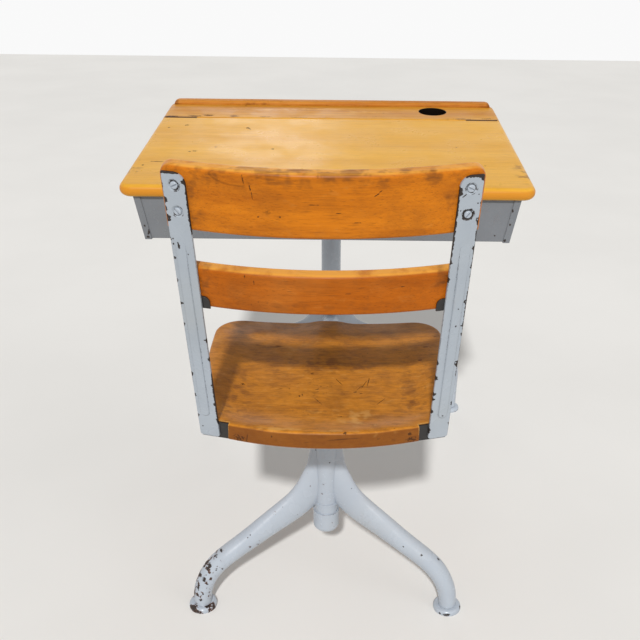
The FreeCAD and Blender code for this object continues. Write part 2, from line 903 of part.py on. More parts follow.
def underside_lip(x_low, x_high, y_low, y_high):
    """Flat lip of sheet that lies against the underside of the wood, between upright planes."""
    reach = top_depth + top_width
    sheet = on_slope(block(x_low, x_high, -reach, reach, -top_thickness - sheet_thickness, -top_thickness))
    return sheet.common(block(x_low, x_high, y_low, y_high, 0, top_front_z + reach))


def place_under_wood(y):
    """Distance up the slope from the front edge, for a place on the wood's underside."""
    return (y - top_front_y - top_thickness * math.sin(top_slope)) / math.cos(top_slope)


def book_box_pan():
    outer = box_block(0, sheet_thickness)
    front_y = box_front_y() + sheet_thickness
    back_y = box_back_y() - sheet_thickness
    floor_z = box_bottom_z + sheet_thickness
    room = block(-top_width, top_width, front_y, back_y, floor_z, top_front_z + top_depth)
    folded = outer.cut(room)
    half_width = box_half_width(top_front_z - top_thickness, sheet_thickness + end_lip_width)
    front_lip = underside_lip(-half_width, half_width, box_front_y(), box_front_y() + box_front_lip)
    back_lip = underside_lip(-half_width, half_width, back_y, back_y + box_back_lip)
    pan = fused([folded, front_lip, back_lip])
    for screw in flat_strip_screws():
        pan = pan.cut(on_slope(screw))
    for x, y in bracket_bolt_places():
        start = Vector(x, y, box_bottom_z - cut_overrun)
        pan = pan.cut(round_bar(bolt_radius, start, Vector(x, y, floor_z + cut_overrun)))
    return pan


def end_panel():
    """Right-hand end of the book box, with flanges folded over the pan and a lip under the wood."""
    cover = box_block(sheet_thickness, 0)
    hollow = box_block(0, sheet_thickness)
    far = top_depth + top_width
    low_z = box_bottom_z - sheet_thickness
    high_z = top_front_z + far
    kept_side = prism([
        Vector(box_half_width(low_z, end_flange_width), -far, low_z),
        Vector(far, -far, low_z),
        Vector(far, -far, high_z),
        Vector(box_half_width(high_z, end_flange_width), -far, high_z),
    ], forward * (far + far))
    shell = cover.cut(hollow).common(kept_side)
    lip_x = box_half_width(top_front_z - top_thickness, sheet_thickness)
    lip = underside_lip(lip_x - end_lip_width, lip_x + sheet_thickness / 2, box_front_y() + sheet_thickness,
                        box_back_y() - sheet_thickness)
    return fused([shell, lip])


# Seat


def dish(share):
    """Smooth bump that is one in the middle and falls to nothing at share one."""
    inside = max(0.0, 1 - share * share)
    return inside * inside * (3 - 2 * inside)


def back_bow(x):
    """How far the seat's bowed back edge has come forward at this distance from the middle."""
    return seat_back_radius - math.sqrt(seat_back_radius ** 2 - x ** 2)


def seat_half_width(y):
    """Half width of the seat's outline at this depth."""
    if y < seat_middle_y:
        share = (seat_middle_y - y) / (seat_middle_y - seat_back_y)
        return seat_middle_half_width - (seat_middle_half_width - seat_back_half_width) * share * share
    share = (y - seat_middle_y) / (seat_front_y - seat_middle_y)
    return seat_middle_half_width - (seat_middle_half_width - seat_front_half_width) * share * share


def scoop_wall(distance):
    """Share of the scoop's depth at this distance inside its border: steep at first, then level."""
    share = min(1.0, max(0.0, distance / scoop_wall_width))
    return share * (2 - share)


def seat_top_z(x, y):
    """Top of the saddle: a scoop with a border at the sides and the back, and a wave along the front edge."""
    across_share = x / seat_middle_half_width
    side_wall = scoop_wall(seat_half_width(y) - scoop_side_border - abs(x))
    back_wall = scoop_wall(y - seat_back_y - back_bow(x) - scoop_back_border)
    front_start_y = seat_back_y + (seat_front_y - seat_back_y) * scoop_front_start_share
    front = smooth_step(min(1.0, max(0.0, (y - front_start_y) / (seat_front_y - front_start_y))))
    ridge = dish(min(1.0, abs(across_share) / ridge_half_width_share))
    thigh = dish(across_share / thigh_half_width_share)
    wave = seat_front_fall * thigh - seat_ridge_height * ridge
    scoop = seat_dish_depth * side_wall * back_wall
    return seat_bottom_z + seat_thickness - scoop * (1 - front) - wave * front


def seat_surface():
    margin = cut_overrun
    rows = []
    for row in range(surface_rows):
        y = seat_back_y - margin + (seat_front_y - seat_back_y + 2 * margin) * row / (surface_rows - 1)
        points = []
        for column in range(surface_rows):
            width = 2 * (seat_middle_half_width + margin)
            x = -seat_middle_half_width - margin + width * column / (surface_rows - 1)
            points.append(Vector(x, y, seat_top_z(x, y)))
        rows.append(points)
    surface = Part.BSplineSurface()
    surface.interpolate(rows)
    return surface.toShape()


def seat_outline():
    """Rounded outline: a bowed back edge, sides that swell to the middle and large front corners."""
    back_side_y = seat_back_y + back_bow(seat_back_half_width)
    bottom = seat_bottom_z
    back_left = Vector(-seat_back_half_width, back_side_y, bottom)
    back_right = Vector(seat_back_half_width, back_side_y, bottom)
    edges = [Part.Arc(back_left, Vector(0, seat_back_y, bottom), back_right).toShape()]
    for side in (1, -1):
        side_points = [
            Vector(side * seat_back_half_width, back_side_y, bottom),
            Vector(side * seat_middle_half_width, seat_middle_y, bottom),
            Vector(side * seat_front_half_width, seat_front_y, bottom),
        ]
        edges.append(Part.Arc(*side_points).toShape())
    front_left = Vector(-seat_front_half_width, seat_front_y, bottom)
    front_right = Vector(seat_front_half_width, seat_front_y, bottom)
    edges.append(Part.LineSegment(front_left, front_right).toShape())
    return Part.Face(Part.Wire(Part.__sortEdges__(edges)))


def seat():
    height = seat_thickness + seat_ridge_height + cut_overrun
    solid = seat_outline().extrude(up * height)
    upright_edges = edges_where(solid, lambda edge: edge.BoundBox.ZLength > seat_thickness)
    front_corners = [edge for edge in upright_edges if abs(middle_of(edge).y - seat_front_y) < seat_gap]
    solid = solid.makeFillet(seat_front_corner_radius, front_corners)
    back_corners = edges_where(solid, lambda edge: edge.BoundBox.ZLength > seat_thickness
                               and middle_of(edge).y < seat_middle_y
                               and abs(abs(middle_of(edge).x) - seat_back_half_width) < seat_gap)
    solid = solid.makeFillet(seat_back_corner_radius, back_corners)
    above = seat_surface().extrude(up * (height + seat_dish_depth + seat_front_fall))
    solid = solid.cut(above)
    low_rim = edges_where(solid, lambda edge: on_level(edge, seat_bottom_z))
    solid = solid.makeFillet(seat_bottom_round, low_rim)
    high_rim = edges_where(solid, lambda edge: edge.BoundBox.ZMin > seat_bottom_z + seat_thickness / 2)
    return solid.makeFillet(seat_edge_round, high_rim)


def spider_pad_places():
    places = []
    for side_x in (-1, 1):
        for side_y in (-1, 1):
            places.append((side_x * spider_arm_reach_x, side_y * spider_arm_reach_y))
    return places


def spider_arm(x, y):
    """Arm that tapers in height from the hub to the edge of its pad under the seat."""
    reach = math.hypot(x, y) - screw_head_radius - seat_gap
    half = spider_arm_width / 2
    sections = []
    for distance, height in ((0.0, spider_arm_root_height), (reach, spider_arm_tip_height)):
        corners = [
            Vector(distance, -half, seat_bottom_z - height),
            Vector(distance, half, seat_bottom_z - height),
            Vector(distance, half, seat_bottom_z),
            Vector(distance, -half, seat_bottom_z),
        ]
        sections.append(Part.makePolygon(corners + [corners[0]]))
    arm = Part.makeLoft(sections, True, True)
    return turned(arm, up, math.degrees(math.atan2(y, x)))


def seat_spider():
    flange_top_z = spider_bottom_z + spider_flange_height
    seat_middle = Vector(0, 0, seat_bottom_z)
    pieces = [
        round_bar(collar_radius, Vector(0, 0, spider_bottom_z), Vector(0, 0, flange_top_z)),
        round_bar(spider_hub_radius, Vector(0, 0, spider_bottom_z), seat_middle),
        round_bar(spider_plate_radius, seat_middle - up * spider_plate_thickness, seat_middle),
        sector(collar_radius - seat_gap, stop_lug_inner_radius, stop_lug_half_deg,
               spider_bottom_z - stop_lug_height, spider_bottom_z + spider_flange_height / 2),
    ]
    for x, y in spider_pad_places():
        pieces.append(spider_arm(x, y))
        pad_bottom = Vector(x, y, seat_bottom_z - spider_arm_tip_height)
        pieces.append(round_bar(spider_pad_radius, pad_bottom, Vector(x, y, seat_bottom_z)))
    spider = fused(pieces)
    bore_start = Vector(0, 0, spider_bottom_z - cut_overrun)
    spider = spider.cut(round_bar(spindle_radius, bore_start, Vector(0, 0, spindle_top_z)))
    for x, y in spider_pad_places():
        hole_start = Vector(x, y, seat_bottom_z - spider_arm_root_height)
        spider = spider.cut(round_bar(screw_radius, hole_start, Vector(x, y, seat_bottom_z + cut_overrun)))
    return spider


def wood_screw(x, y, head_top_z):
    """Screw driven upward into the seat from under a plate whose lower face is at head_top_z."""
    head_top = Vector(x, y, head_top_z)
    head = round_bar(screw_head_radius, head_top - up * screw_head_height, head_top)
    shank = round_bar(screw_radius, head_top, Vector(x, y, seat_bottom_z + screw_bite))
    return fused([head, shank])


def seat_screw_places():
    """Place of each seat screw, with the lower face of the plate that it holds."""
    places = [(x, y, seat_bottom_z - spider_arm_tip_height) for x, y in spider_pad_places()]
    for side in (-1, 1):
        for share in angle_screw_shares:
            foot = angle_foot_point(side, share)
            places.append((foot.x, foot.y, seat_bottom_z - angle_thickness))
    return places


def seat_screws():
    return Part.makeCompound([wood_screw(x, y, z) for x, y, z in seat_screw_places()])


def drilled_seat(solid):
    for x, y, z in seat_screw_places():
        start = Vector(x, y, seat_bottom_z - cut_overrun)
        solid = solid.cut(round_bar(screw_radius, start, Vector(x, y, seat_bottom_z + screw_bite)))
    return solid


# Back. An upright is drawn flat: x across its width, y through its thickness with the front face at 0 and the
# rear face behind it, z along it. The slats are drawn upright with the same y = 0.


def upright_splay_deg():
    spread = (upright_top_half_spacing - upright_bottom_half_spacing) / math.cos(back_turn)
    return math.degrees(math.atan2(spread, upright_length))


def in_back_frame(shape):
    leaned = turned(shape, sideways, back_lean_deg)
    return moved(leaned, Vector(0, back_foot_y, seat_bottom_z))


def in_upright_frame(shape):
    """Right-hand upright: splayed in its own plane, turned to follow the slats, then leaned back."""
    splayed = turned(shape, forward, upright_splay_deg())
    turned_out = turned(splayed, up, back_turn_deg)
    return in_back_frame(moved(turned_out, Vector(upright_bottom_half_spacing, 0, 0)))


def pressed_rib(width, rear_y, front_y, bottom_z, top_z):
    """Long rib with round ends between two depths, drawn in the upright's flat frame."""
    half = width / 2
    points = [
        Vector(rib_offset - half, rear_y, bottom_z),
        Vector(rib_offset + half, rear_y, bottom_z),
        Vector(rib_offset + half, rear_y, top_z),
        Vector(rib_offset - half, rear_y, top_z),
    ]
    end_radius = half - running_clearance
    return rounded_prism(points, [end_radius] * len(points), forward * (front_y - rear_y))


def rib_fade():
    """What is cut from the rib's upper end, so that it slopes into the strap."""
    crown_y = -upright_thickness - rib_height
    side_x = -upright_width
    corners = [
        Vector(side_x, crown_y, rib_top - rib_fade_length),
        Vector(side_x, -upright_thickness, rib_top),
        Vector(side_x, crown_y - cut_overrun, rib_top + cut_overrun),
        Vector(side_x, crown_y - cut_overrun, rib_top - rib_fade_length),
    ]
    return prism(corners, sideways * (upright_width + upright_width))


def slat_screw_heights():
    highest = upright_length - top_screw_from_end
    return (highest, highest - slat_screw_spacing)


def upright():
    half = upright_width / 2
    rear_face = -upright_thickness
    points = [
        Vector(-half, rear_face, 0),
        Vector(half, rear_face, 0),
        Vector(half, rear_face, upright_length),
        Vector(-half, rear_face, upright_length),
    ]
    strap = rounded_prism(points, [0, 0, 0, upright_corner_radius], forward * upright_thickness)
    lower_corners = edges_where(strap, lambda edge: edge.BoundBox.XLength < seat_gap
                                and edge.BoundBox.ZLength < seat_gap and middle_of(edge).z < rib_bottom)
    strap = strap.makeChamfer(upright_bottom_chamfer, lower_corners)
    raised = pressed_rib(rib_width, rear_face - rib_height, rear_face, rib_bottom, rib_top)
    crown_y = rear_face - rib_height
    crown = edges_where(raised, lambda edge: abs(edge.BoundBox.YMax - crown_y) < running_clearance)
    raised = raised.makeFillet(rib_edge_round, crown).cut(rib_fade())
    hollow_width = rib_width - 2 * upright_thickness
    hollow_bottom = rib_bottom + upright_thickness
    hollow = pressed_rib(hollow_width, -rib_height, 0, hollow_bottom, rib_top - rib_fade_length)
    strap = fused([strap, raised]).cut(hollow)
    for height in slat_screw_heights():
        centre = Vector(0, 0, height)
        strap = strap.cut(round_bar(slat_screw_radius, centre - forward * (upright_thickness + cut_overrun),
                                    centre + forward * cut_overrun))
        sink_start = centre - forward * upright_thickness
        strap = strap.cut(Part.makeCone(slat_screw_sink_radius, slat_screw_head_radius, slat_screw_sink_depth,
                                        sink_start, forward))
    return in_upright_frame(strap)


def slat_screw(height, slot_turn_deg):
    """Round-headed slotted screw through the upright into the top slat, in the upright's flat frame."""
    centre = Vector(0, 0, height)
    head_start = centre - forward * (upright_thickness - slat_screw_sink_depth + slat_screw_head_height)
    head_end = centre - forward * (upright_thickness - slat_screw_sink_depth)
    head = round_bar(slat_screw_head_radius - seat_gap, head_start, head_end)
    crown = edges_where(head, lambda edge: abs(edge.BoundBox.YMax - head_start.y) < running_clearance)
    head = head.makeFillet(slat_screw_head_height * head_dome_share, crown)
    half_slot = screw_slot_width / 2
    slot = block(-slat_screw_head_radius, slat_screw_head_radius, head_start.y - cut_overrun,
                 head_start.y + screw_slot_depth, height - half_slot, height + half_slot)
    head = head.cut(turned(slot, forward, slot_turn_deg, centre))
    shank = round_bar(slat_screw_radius, head_end, centre + forward * slat_screw_bite)
    return fused([head, shank])


def right_slat_screws():
    screws = []
    for height, slot_turn_deg in zip(slat_screw_heights(), screw_slot_turns_deg):
        screws.append(in_upright_frame(slat_screw(height, slot_turn_deg)))
    return screws


def slat_screws():
    right = right_slat_screws()
    return Part.makeCompound(right + [mirrored(screw) for screw in right])


def curved_slab(bottom, height, thickness, half_length, forward_shift):
    """Bowed board whose rear face touches the uprights' front faces, as one arc of even thickness."""
    touch_y = (slat_contact_half_spacing - upright_bottom_half_spacing) * math.tan(back_turn) + forward_shift
    centre_y = touch_y + slat_back_radius * math.cos(back_turn)
    rear = round_bar(slat_back_radius, Vector(0, centre_y, bottom), Vector(0, centre_y, bottom + height))
    front_radius = slat_back_radius - thickness
    inner = round_bar(front_radius, Vector(0, centre_y, bottom - cut_overrun),
                      Vector(0, centre_y, bottom + height + cut_overrun))
    window_back = centre_y - slat_back_radius - cut_overrun
    window = block(-half_length, half_length, window_back, centre_y, bottom, bottom + height)
    return rear.cut(inner).common(window)


def outline_window(points, radii):
    """Front view of a slat, as a block through its whole thickness."""
    reach = slat_back_radius
    placed = [point - forward * reach for point in points]
    return rounded_prism(placed, radii, forward * (reach + reach))


def upright_outer_x(height):
    """Distance from the middle to the outer edge of an upright, across the slat, at this height."""
    spread = upright_top_half_spacing - upright_bottom_half_spacing
    middle = upright_bottom_half_spacing + spread * height / upright_length
    return middle + upright_width / 2 * math.cos(back_turn)


def rounded_slat(solid):
    """Rounds the long edges and the ends of a slat on both faces."""
    def on_face(edge):
        return edge.BoundBox.XLength > seat_gap or edge.BoundBox.ZLength > seat_gap
    rim = []
    for edge in solid.Edges:
        middle = middle_of(edge)
        if not on_face(edge):
            continue
        through_thickness = abs(edge.tangentAt(edge.FirstParameter).y) > math.cos(back_turn * 2)
        if not through_thickness:
            rim.append(edge)
    return solid.makeFillet(slat_edge_round, rim)


def top_slat():
    bottom = top_slat_bottom
    top = bottom + top_slat_height
    low = upright_outer_x(bottom) + top_slat_overhang
    high = upright_outer_x(top) + top_slat_overhang
    slab = curved_slab(bottom, top_slat_height, slat_thickness, high + cut_overrun, 0)
    points = [Vector(-low, 0, bottom), Vector(low, 0, bottom), Vector(high, 0, top), Vector(-high, 0, top)]
    radii = [0, 0, top_slat_corner_radius, top_slat_corner_radius]
    slat = rounded_slat(slab.common(outline_window(points, radii)))
    slat = in_back_frame(slat)
    for screw in right_slat_screws():
        slat = slat.cut(screw).cut(mirrored(screw))
    return slat


def lower_slat():
    slab = curved_slab(lower_slat_bottom, lower_slat_height, slat_thickness, lower_slat_half_length,
                       clip_thickness / math.cos(back_turn))
    slat = in_back_frame(rounded_slat(slab))
    for rivet in right_clip_rivets():
        slat = slat.cut(rivet).cut(mirrored(rivet))
    return slat


def slat_clip():
    """Black plate between the right upright and the lower slat, with a wider rounded foot."""
    top = lower_slat_bottom + lower_slat_height - slat_edge_round
    bottom = lower_slat_bottom + seat_gap
    foot_top = bottom + clip_foot_height
    points = [
        Vector(-clip_bottom_reach, 0, bottom),
        Vector(clip_outer_reach, 0, bottom),
        Vector(clip_outer_reach, 0, top),
        Vector(-clip_top_reach, 0, top),
        Vector(-clip_top_reach, 0, foot_top),
        Vector(-clip_bottom_reach, 0, foot_top),
    ]
    radii = [0, 0, 0, 0, 0, clip_foot_round]
    clip = in_upright_frame(rounded_prism(points, radii, forward * clip_thickness))
    for rivet in right_clip_rivets():
        clip = clip.cut(rivet)
    return clip


def clip_rivet(height):
    """Round-headed rivet from the front of the lower slat into the clip, in the upright's flat frame."""
    tail = Vector(-clip_rivet_side, 0, height)
    head_start = tail + forward * (clip_thickness + slat_thickness)
    head_end = head_start + forward * clip_rivet_head_height
    head = round_bar(clip_rivet_head_radius, head_start, head_end)
    crown = edges_where(head, lambda edge: abs(edge.BoundBox.YMin - head_end.y) < running_clearance)
    head = head.makeFillet(clip_rivet_head_height * head_dome_share, crown)
    return in_upright_frame(fused([head, round_bar(clip_rivet_radius, tail, head_start)]))


def right_clip_rivets():
    middle = lower_slat_bottom + lower_slat_height / 2
    return [clip_rivet(middle + side * clip_rivet_spacing / 2) for side in (-1, 1)]


def clip_rivets():
    right = right_clip_rivets()
    return Part.makeCompound(right + [mirrored(rivet) for rivet in right])


def angle_foot_point(side, share):
    """A place along the angle's foot, under the seat."""
    distance = angle_foot_length * share
    x = upright_bottom_half_spacing - distance * math.sin(back_turn)
    y = back_foot_y + distance * math.cos(back_turn)
    return Vector(side * x, y, seat_bottom_z)


def seat_angle():
    """Black steel angle: one leg between the right upright and the seat's back edge, one under the seat."""
    leg = block(-angle_inner_reach, angle_outer_reach, 0, angle_thickness, -angle_thickness, angle_height)
    leg = in_upright_frame(leg)
    foot = block(-angle_inner_reach, angle_outer_reach, 0, angle_foot_length, -angle_thickness, 0)
    foot_place = Vector(upright_bottom_half_spacing, back_foot_y, seat_bottom_z)
    foot = moved(turned(foot, up, back_turn_deg), foot_place)
    below = block(-top_width, top_width, -top_depth, top_depth, 0, seat_bottom_z - angle_thickness)
    angle = fused([leg, foot]).cut(below)
    for share in angle_screw_shares:
        place = angle_foot_point(1, share)
        hole_start = place - up * (angle_thickness + cut_overrun)
        angle = angle.cut(round_bar(screw_radius, hole_start, place + up * cut_overrun))
    return angle


def angle_seat_pocket():
    """What the angle's upper leg and the upright take from the seat's back edge, through its thickness."""
    top_z = seat_thickness + cut_overrun
    notch = block(-angle_inner_reach, upright_width, -top_depth, angle_thickness, -cut_overrun, top_z)
    return in_upright_frame(notch)


def finished_seat():
    pocket = angle_seat_pocket()
    solid = seat().cut(pocket).cut(mirrored(pocket))
    return drilled_seat(largest_solid(solid))


def build():
    rear = rear_leg()
    front = front_leg()
    parts = {
        "rear_sleeve": rear_sleeve(),
        "rear_sleeve_cap": rear_sleeve_cap(),
        "lower_bush": bearing_bush(sleeve_bottom_z),
        "upper_bush": bearing_bush(sleeve_top_z - bush_length),
        "swivel_collar": swivel_collar(),
        "thrust_washer": thrust_washer(),
        "rear_leg_right": rear,
        "rear_leg_left": mirrored(rear),
        "front_leg_right": front,
        "front_leg_left": mirrored(front),
        "stretcher_tube": stretcher_tube([front, mirrored(front), rear, mirrored(rear)]),
        "front_column": front_column(),
        "column_plug": column_plug(),
        "desk_bracket": desk_bracket(),
        "bracket_bolts": bracket_bolts(),
        "bracket_nuts": bracket_nuts(),
        "book_box_pan": book_box_pan(),
        "rear_strip": rear_strip(),
        "back_rail": back_rail(),
        "strip_screws": strip_screws(),
        "strip_hinge_screws": placed_hinge_screws(1),
        "lid_hinge_screws": placed_hinge_screws(-1),
        "lid": lid(),
        "seat_spindle": seat_spindle(),
        "spindle_washer": spindle_washer(),
        "spindle_nut": spindle_nut(),
        "seat_spider": seat_spider(),
        "seat": finished_seat(),
        "seat_screws": seat_screws(),
        "top_slat": top_slat(),
        "lower_slat": lower_slat(),
        "slat_screws": slat_screws(),
        "clip_rivets": clip_rivets(),
    }
    pairs = {
        "end_panel": end_panel(),
        "upright": upright(),
        "slat_clip": slat_clip(),
        "seat_angle": seat_angle(),
    }
    for name, shape in pairs.items():
        parts[name + "_right"] = shape
        parts[name + "_left"] = mirrored(shape)
    for side, label in ((1, "right"), (-1, "left")):
        parts["rear_foot_" + label] = flange_foot(side * rear_foot_x, -rear_foot_back)
        parts["front_foot_" + label] = flange_foot(side * front_foot_x, column_spacing + front_foot_forward)
        parts["lid_hinge_leaf_" + label] = lid_hinge_leaf(side)
        parts["strip_hinge_leaf_" + label] = strip_hinge_leaf(side)
        parts["hinge_pin_" + label] = hinge_pin(side)
    return parts


def main():
    parts = build()
    boxes = [shape.optimalBoundingBox(False, False) for shape in parts.values()]
    back_y = min(box.YMin for box in boxes)
    front_y = max(box.YMax for box in boxes)
    to_middle = Vector(0, -(back_y + front_y) / 2, 0)
    os.makedirs("parts", exist_ok=True)
    for name, shape in parts.items():
        placed = moved(shape, to_middle)
        placed.exportStep(os.path.join("parts", name + ".step"))
        print(name, "solids", len(placed.Solids), "valid", placed.isValid(), "volume", round(placed.Volume))
    print("swivel axis at y", round(to_middle.y, 4))
    print("overall depth", round(front_y - back_y, 4), "height", round(max(box.ZMax for box in boxes), 4))


main()
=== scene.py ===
"""Looks of the school desk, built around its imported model.

Lengths are metres unless a comment says otherwise. +Z is up, and the seat stands towards -Y.
"""
import math

import bmesh
import bpy
from mathutils import Matrix, Vector
from mathutils.bvhtree import BVHTree


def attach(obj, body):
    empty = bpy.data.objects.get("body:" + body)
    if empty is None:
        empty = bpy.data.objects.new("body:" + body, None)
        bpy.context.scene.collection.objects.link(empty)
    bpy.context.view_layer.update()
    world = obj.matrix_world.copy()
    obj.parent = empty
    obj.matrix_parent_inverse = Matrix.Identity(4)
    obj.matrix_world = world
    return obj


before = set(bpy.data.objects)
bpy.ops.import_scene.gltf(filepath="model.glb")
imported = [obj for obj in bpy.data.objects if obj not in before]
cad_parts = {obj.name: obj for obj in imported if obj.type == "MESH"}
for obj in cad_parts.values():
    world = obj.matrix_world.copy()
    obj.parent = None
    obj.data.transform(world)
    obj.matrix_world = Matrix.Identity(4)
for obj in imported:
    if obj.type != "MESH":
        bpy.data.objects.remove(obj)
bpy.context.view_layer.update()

# Camera, fitted to the photograph: angles in degrees, focal length and centre in pixels, sensor width in mm
CAMERA_PLACE = (0.0246, -1.3406, 1.0274)
CAMERA_PITCH = 25.803
CAMERA_YAW = 0.061
CAMERA_ROLL = -0.644
FOCAL_PIXELS = 858.5
PICTURE_PIXELS = 640
IMAGE_CENTRE = (343.6, 334.0)
SENSOR_WIDTH = 36.0

# Colours as sRGB values from 0 to 255
PAINT = (176, 184, 193)
PAINT_SHADE = (166, 174, 184)
PAINT_YELLOWED = (174, 175, 171)
# Uprights' enamel, a little darker than the legs' as painted shade
PAINTED_SHADE_UPRIGHT_COLOUR = (168, 176, 184)
PAINTED_SHADE_UPRIGHT_DRIFT = (157, 165, 174)
PAINTED_SHADE_UPRIGHT_YELLOWED = (165, 166, 161)
# Book box enamel, written much darker than the rest as painted shade under the lid
PAINTED_SHADE_BOX_COLOUR = (119, 123, 128)
PAINTED_SHADE_BOX_DRIFT = (108, 112, 117)
PAINTED_SHADE_BOX_YELLOWED = (116, 115, 110)
CHIP_RIM = (88, 54, 34)
CHIP_CORE = (34, 24, 19)
BLACK_ENAMEL = (33, 31, 30)
BLACK_WORN = (74, 62, 54)
LID_LIGHT = (232, 176, 62)
LID_DARK = (209, 148, 42)
# The lid's upright sides, darker as painted shade
PAINTED_SHADE_LID_SIDES = (204, 130, 38)
LID_UNDERSIDE = (176, 142, 96)
STRIP_LIGHT = (220, 160, 54)
STRIP_DARK = (184, 116, 28)
RAIL_LIGHT = (200, 132, 50)
RAIL_DARK = (172, 98, 30)
TOP_SLAT_LIGHT = (214, 125, 22)
TOP_SLAT_DARK = (156, 78, 12)
LOW_SLAT_LIGHT = (190, 101, 18)
LOW_SLAT_DARK = (138, 66, 10)
# Tops of the slats, paler as painted light
PAINTED_LIGHT_SLAT_TOPS = (224, 158, 66)
SEAT_LIGHT = (214, 138, 38)
SEAT_DARK = (158, 92, 22)
# The seat's upright sides, darker as painted shade
PAINTED_SHADE_SEAT_SIDES = (108, 56, 14)
WOOD_GRIME = (62, 34, 14)
WOOD_STAIN = (112, 64, 26)
WOOD_WORN = (226, 176, 100)
# Near black painted shade inside the inkwell hole
HOLE_PAINTED_SHADE = (20, 14, 10)
STEEL = (150, 148, 142)
# Hinges, dark brown partly from tarnish and partly as painted shade
HINGE_TARNISH_AND_PAINTED_SHADE = (74, 56, 40)
BRONZE = (150, 116, 66)
FLOOR_LIGHT = (236, 234, 230)
FLOOR_DARK = (232, 230, 226)

# Depth of relief, and radii within which edges are shaded soft
PAINT_RELIEF = 0.0004
WOOD_RELIEF = 0.0003
FINE_RELIEF = 0.0002
PAINT_SOFTNESS = 0.001
TUBE_SOFTNESS = 0.0003
WELD_SOFTNESS = 0.0001
BLACK_SOFTNESS = 0.0006
WOOD_SOFTNESS = 0.0012
BEVEL_SAMPLES = 4

# Noises, as scale per metre, detail and roughness
PAINT_SHADES = (9.0, 4.0, 0.6)
PAINT_YELLOWING = (3.2, 5.0, 0.65)
PAINT_SMUDGES = (46.0, 5.0, 0.7)
PAINT_CHIPS = (230.0, 4.0, 0.62)
PAINT_CHIP_REGIONS = (14.0, 3.0, 0.6)
PAINT_FLAKES = (115.0, 5.0, 0.62)
PAINT_PEEL = (130.0, 2.0, 0.55)
PAINT_GLOSS_DRIFT = (40.0, 3.0, 0.55)
UPRIGHT_EDGE_DRIFT = (260.0, 3.0, 0.55)
RING_MARK_DRIFT = (300.0, 2.0, 0.55)
RING_MARK_BREAKS = (130.0, 1.0, 0.55)
BLACK_RUBS = (150.0, 4.0, 0.6)
BLACK_DUST = (38.0, 5.0, 0.65)
BLACK_PEEL = (180.0, 3.0, 0.55)
WOOD_PALE_AREAS = (6.5, 4.0, 0.6)
WOOD_CROWN_PATCHES = (24.0, 4.0, 0.6)
WOOD_EDGE_RUBS = (30.0, 4.0, 0.6)
WOOD_EDGE_DIRT = (85.0, 4.0, 0.65)
WOOD_DIRT = (120.0, 5.0, 0.65)
WOOD_DIRT_REGIONS = (11.0, 3.0, 0.6)
WOOD_GLOSS_DRIFT = (18.0, 4.0, 0.6)
METAL_TARNISH = (60.0, 4.0, 0.6)
METAL_GLOSS_DRIFT = (90.0, 3.0, 0.55)
METAL_GRAIN = (240.0, 3.0, 0.55)
FLOOR_DRIFT = (1.5, 3.0, 0.55)

# Stretched noises of the wood, as stretch along X, Y and Z, detail, roughness and distortion
WOOD_FIBRES = ((9.0, 330.0, 330.0), 6.0, 0.6, 0.1)
WOOD_STREAKS = ((5.0, 110.0, 110.0), 4.0, 0.6, 0.2)
WOOD_PORES = ((34.0, 1500.0, 1500.0), 2.0, 0.5, 0.0)
WOOD_CLOUDS = ((16.0, 26.0, 26.0), 6.0, 0.68, 0.3)
WOOD_BLOTCHES = ((48.0, 95.0, 95.0), 5.0, 0.72, 0.3)

# Detail, roughness and distortion of the wood's growth rings, whose stretch each piece chooses
WOOD_RINGS = (5.0, 0.5, 0.35)

# The span that most values of a noise lie in, and a narrower one for borders
USUAL_NOISE = (0.3, 0.7)
BORDER_NOISE = (0.32, 0.68)

# How much rings, fibres and streaks count in the tone of the wood
RINGS_IN_TONE = 0.50
FIBRES_IN_TONE = 0.36
STREAKS_IN_TONE = 0.28

# Directions of the scratches in radians, each with the stretch of its noise, and the noise span of a line
SCRATCH_FIELDS = ((0.35, (3.0, 26.0, 8.0)), (1.9, (2.4, 30.0, 7.0)))
SCRATCH_LINE = (0.0042, 0.0012)

# Roughness of sound paint, and how much rougher bare metal and soiled wood are
PAINT_GLOSS = (0.20, 0.30)
BARE_ROUGHER = 0.38
SOIL_ROUGHER = 0.3

MM_PER_METRE = 1000

# Facts of the model that marks and welds are placed by
REAR_POST_Y = -0.1763
FRONT_POST_Y = 0.2537
POST_RADIUS = 0.019
BACK_LEAN = math.radians(10.1)
BACK_TURN = math.radians(15.0)
UPRIGHT_SPLAY = math.radians(1.76)
UPRIGHT_FOOT = (0.1568, -0.3273, 0.381)

# Millimetres up an upright and across it, and the span of its wear profiles
SCREW_HEIGHTS = (379, 346)
TOP_EDGE_WEAR = (392.6, 393.2)
STRIP_HALF_WIDTH = 14.0
PROFILE_HEIGHT = 400.0
PROFILE_DEPTH = 10.0
PROFILE_STEPS = 230

# Seams between legs and posts: the post's Y, the right leg's heading in degrees from +X, the height of the
# seam's middle and the height at which the bead ends
SEAMS = {"rear": (REAR_POST_Y, -22.1, 0.215, 0.277), "front": (FRONT_POST_Y, 28.1, 0.300, 0.351)}

# How a seam is searched for, and how far from straight up a bead starts and ends
SEAM_REACH = 0.11
SEAM_STEP = 0.0012
SEAM_SECTIONS = 90
SEAM_OPENING_DEG = 24

# A bead: its width on post and leg, steps across it, how deep its borders sink in, and the depth of its back
BEAD_WIDTH = 0.012
BEAD_STEPS = 8
BEAD_SINK = 0.0002
BEAD_BACK = 0.0012

# Lamps: the sun in watts per square metre, the others in watts
SUN_SOURCE = (-0.065, -1.0, 0.87)
SUN_STRENGTH = 2.5
SUN_ANGLE_DEG = 3
FILL_LAMP = {"place": (1.9, -1.4, 1.7), "target": (0, 0, 0.4), "size": 1.4, "power": 5.0}
BACK_LAMP = {"place": (-0.35, 2.8, 1.85), "target": (0, 0, 0.68), "size": 0.7, "power": 2.8}

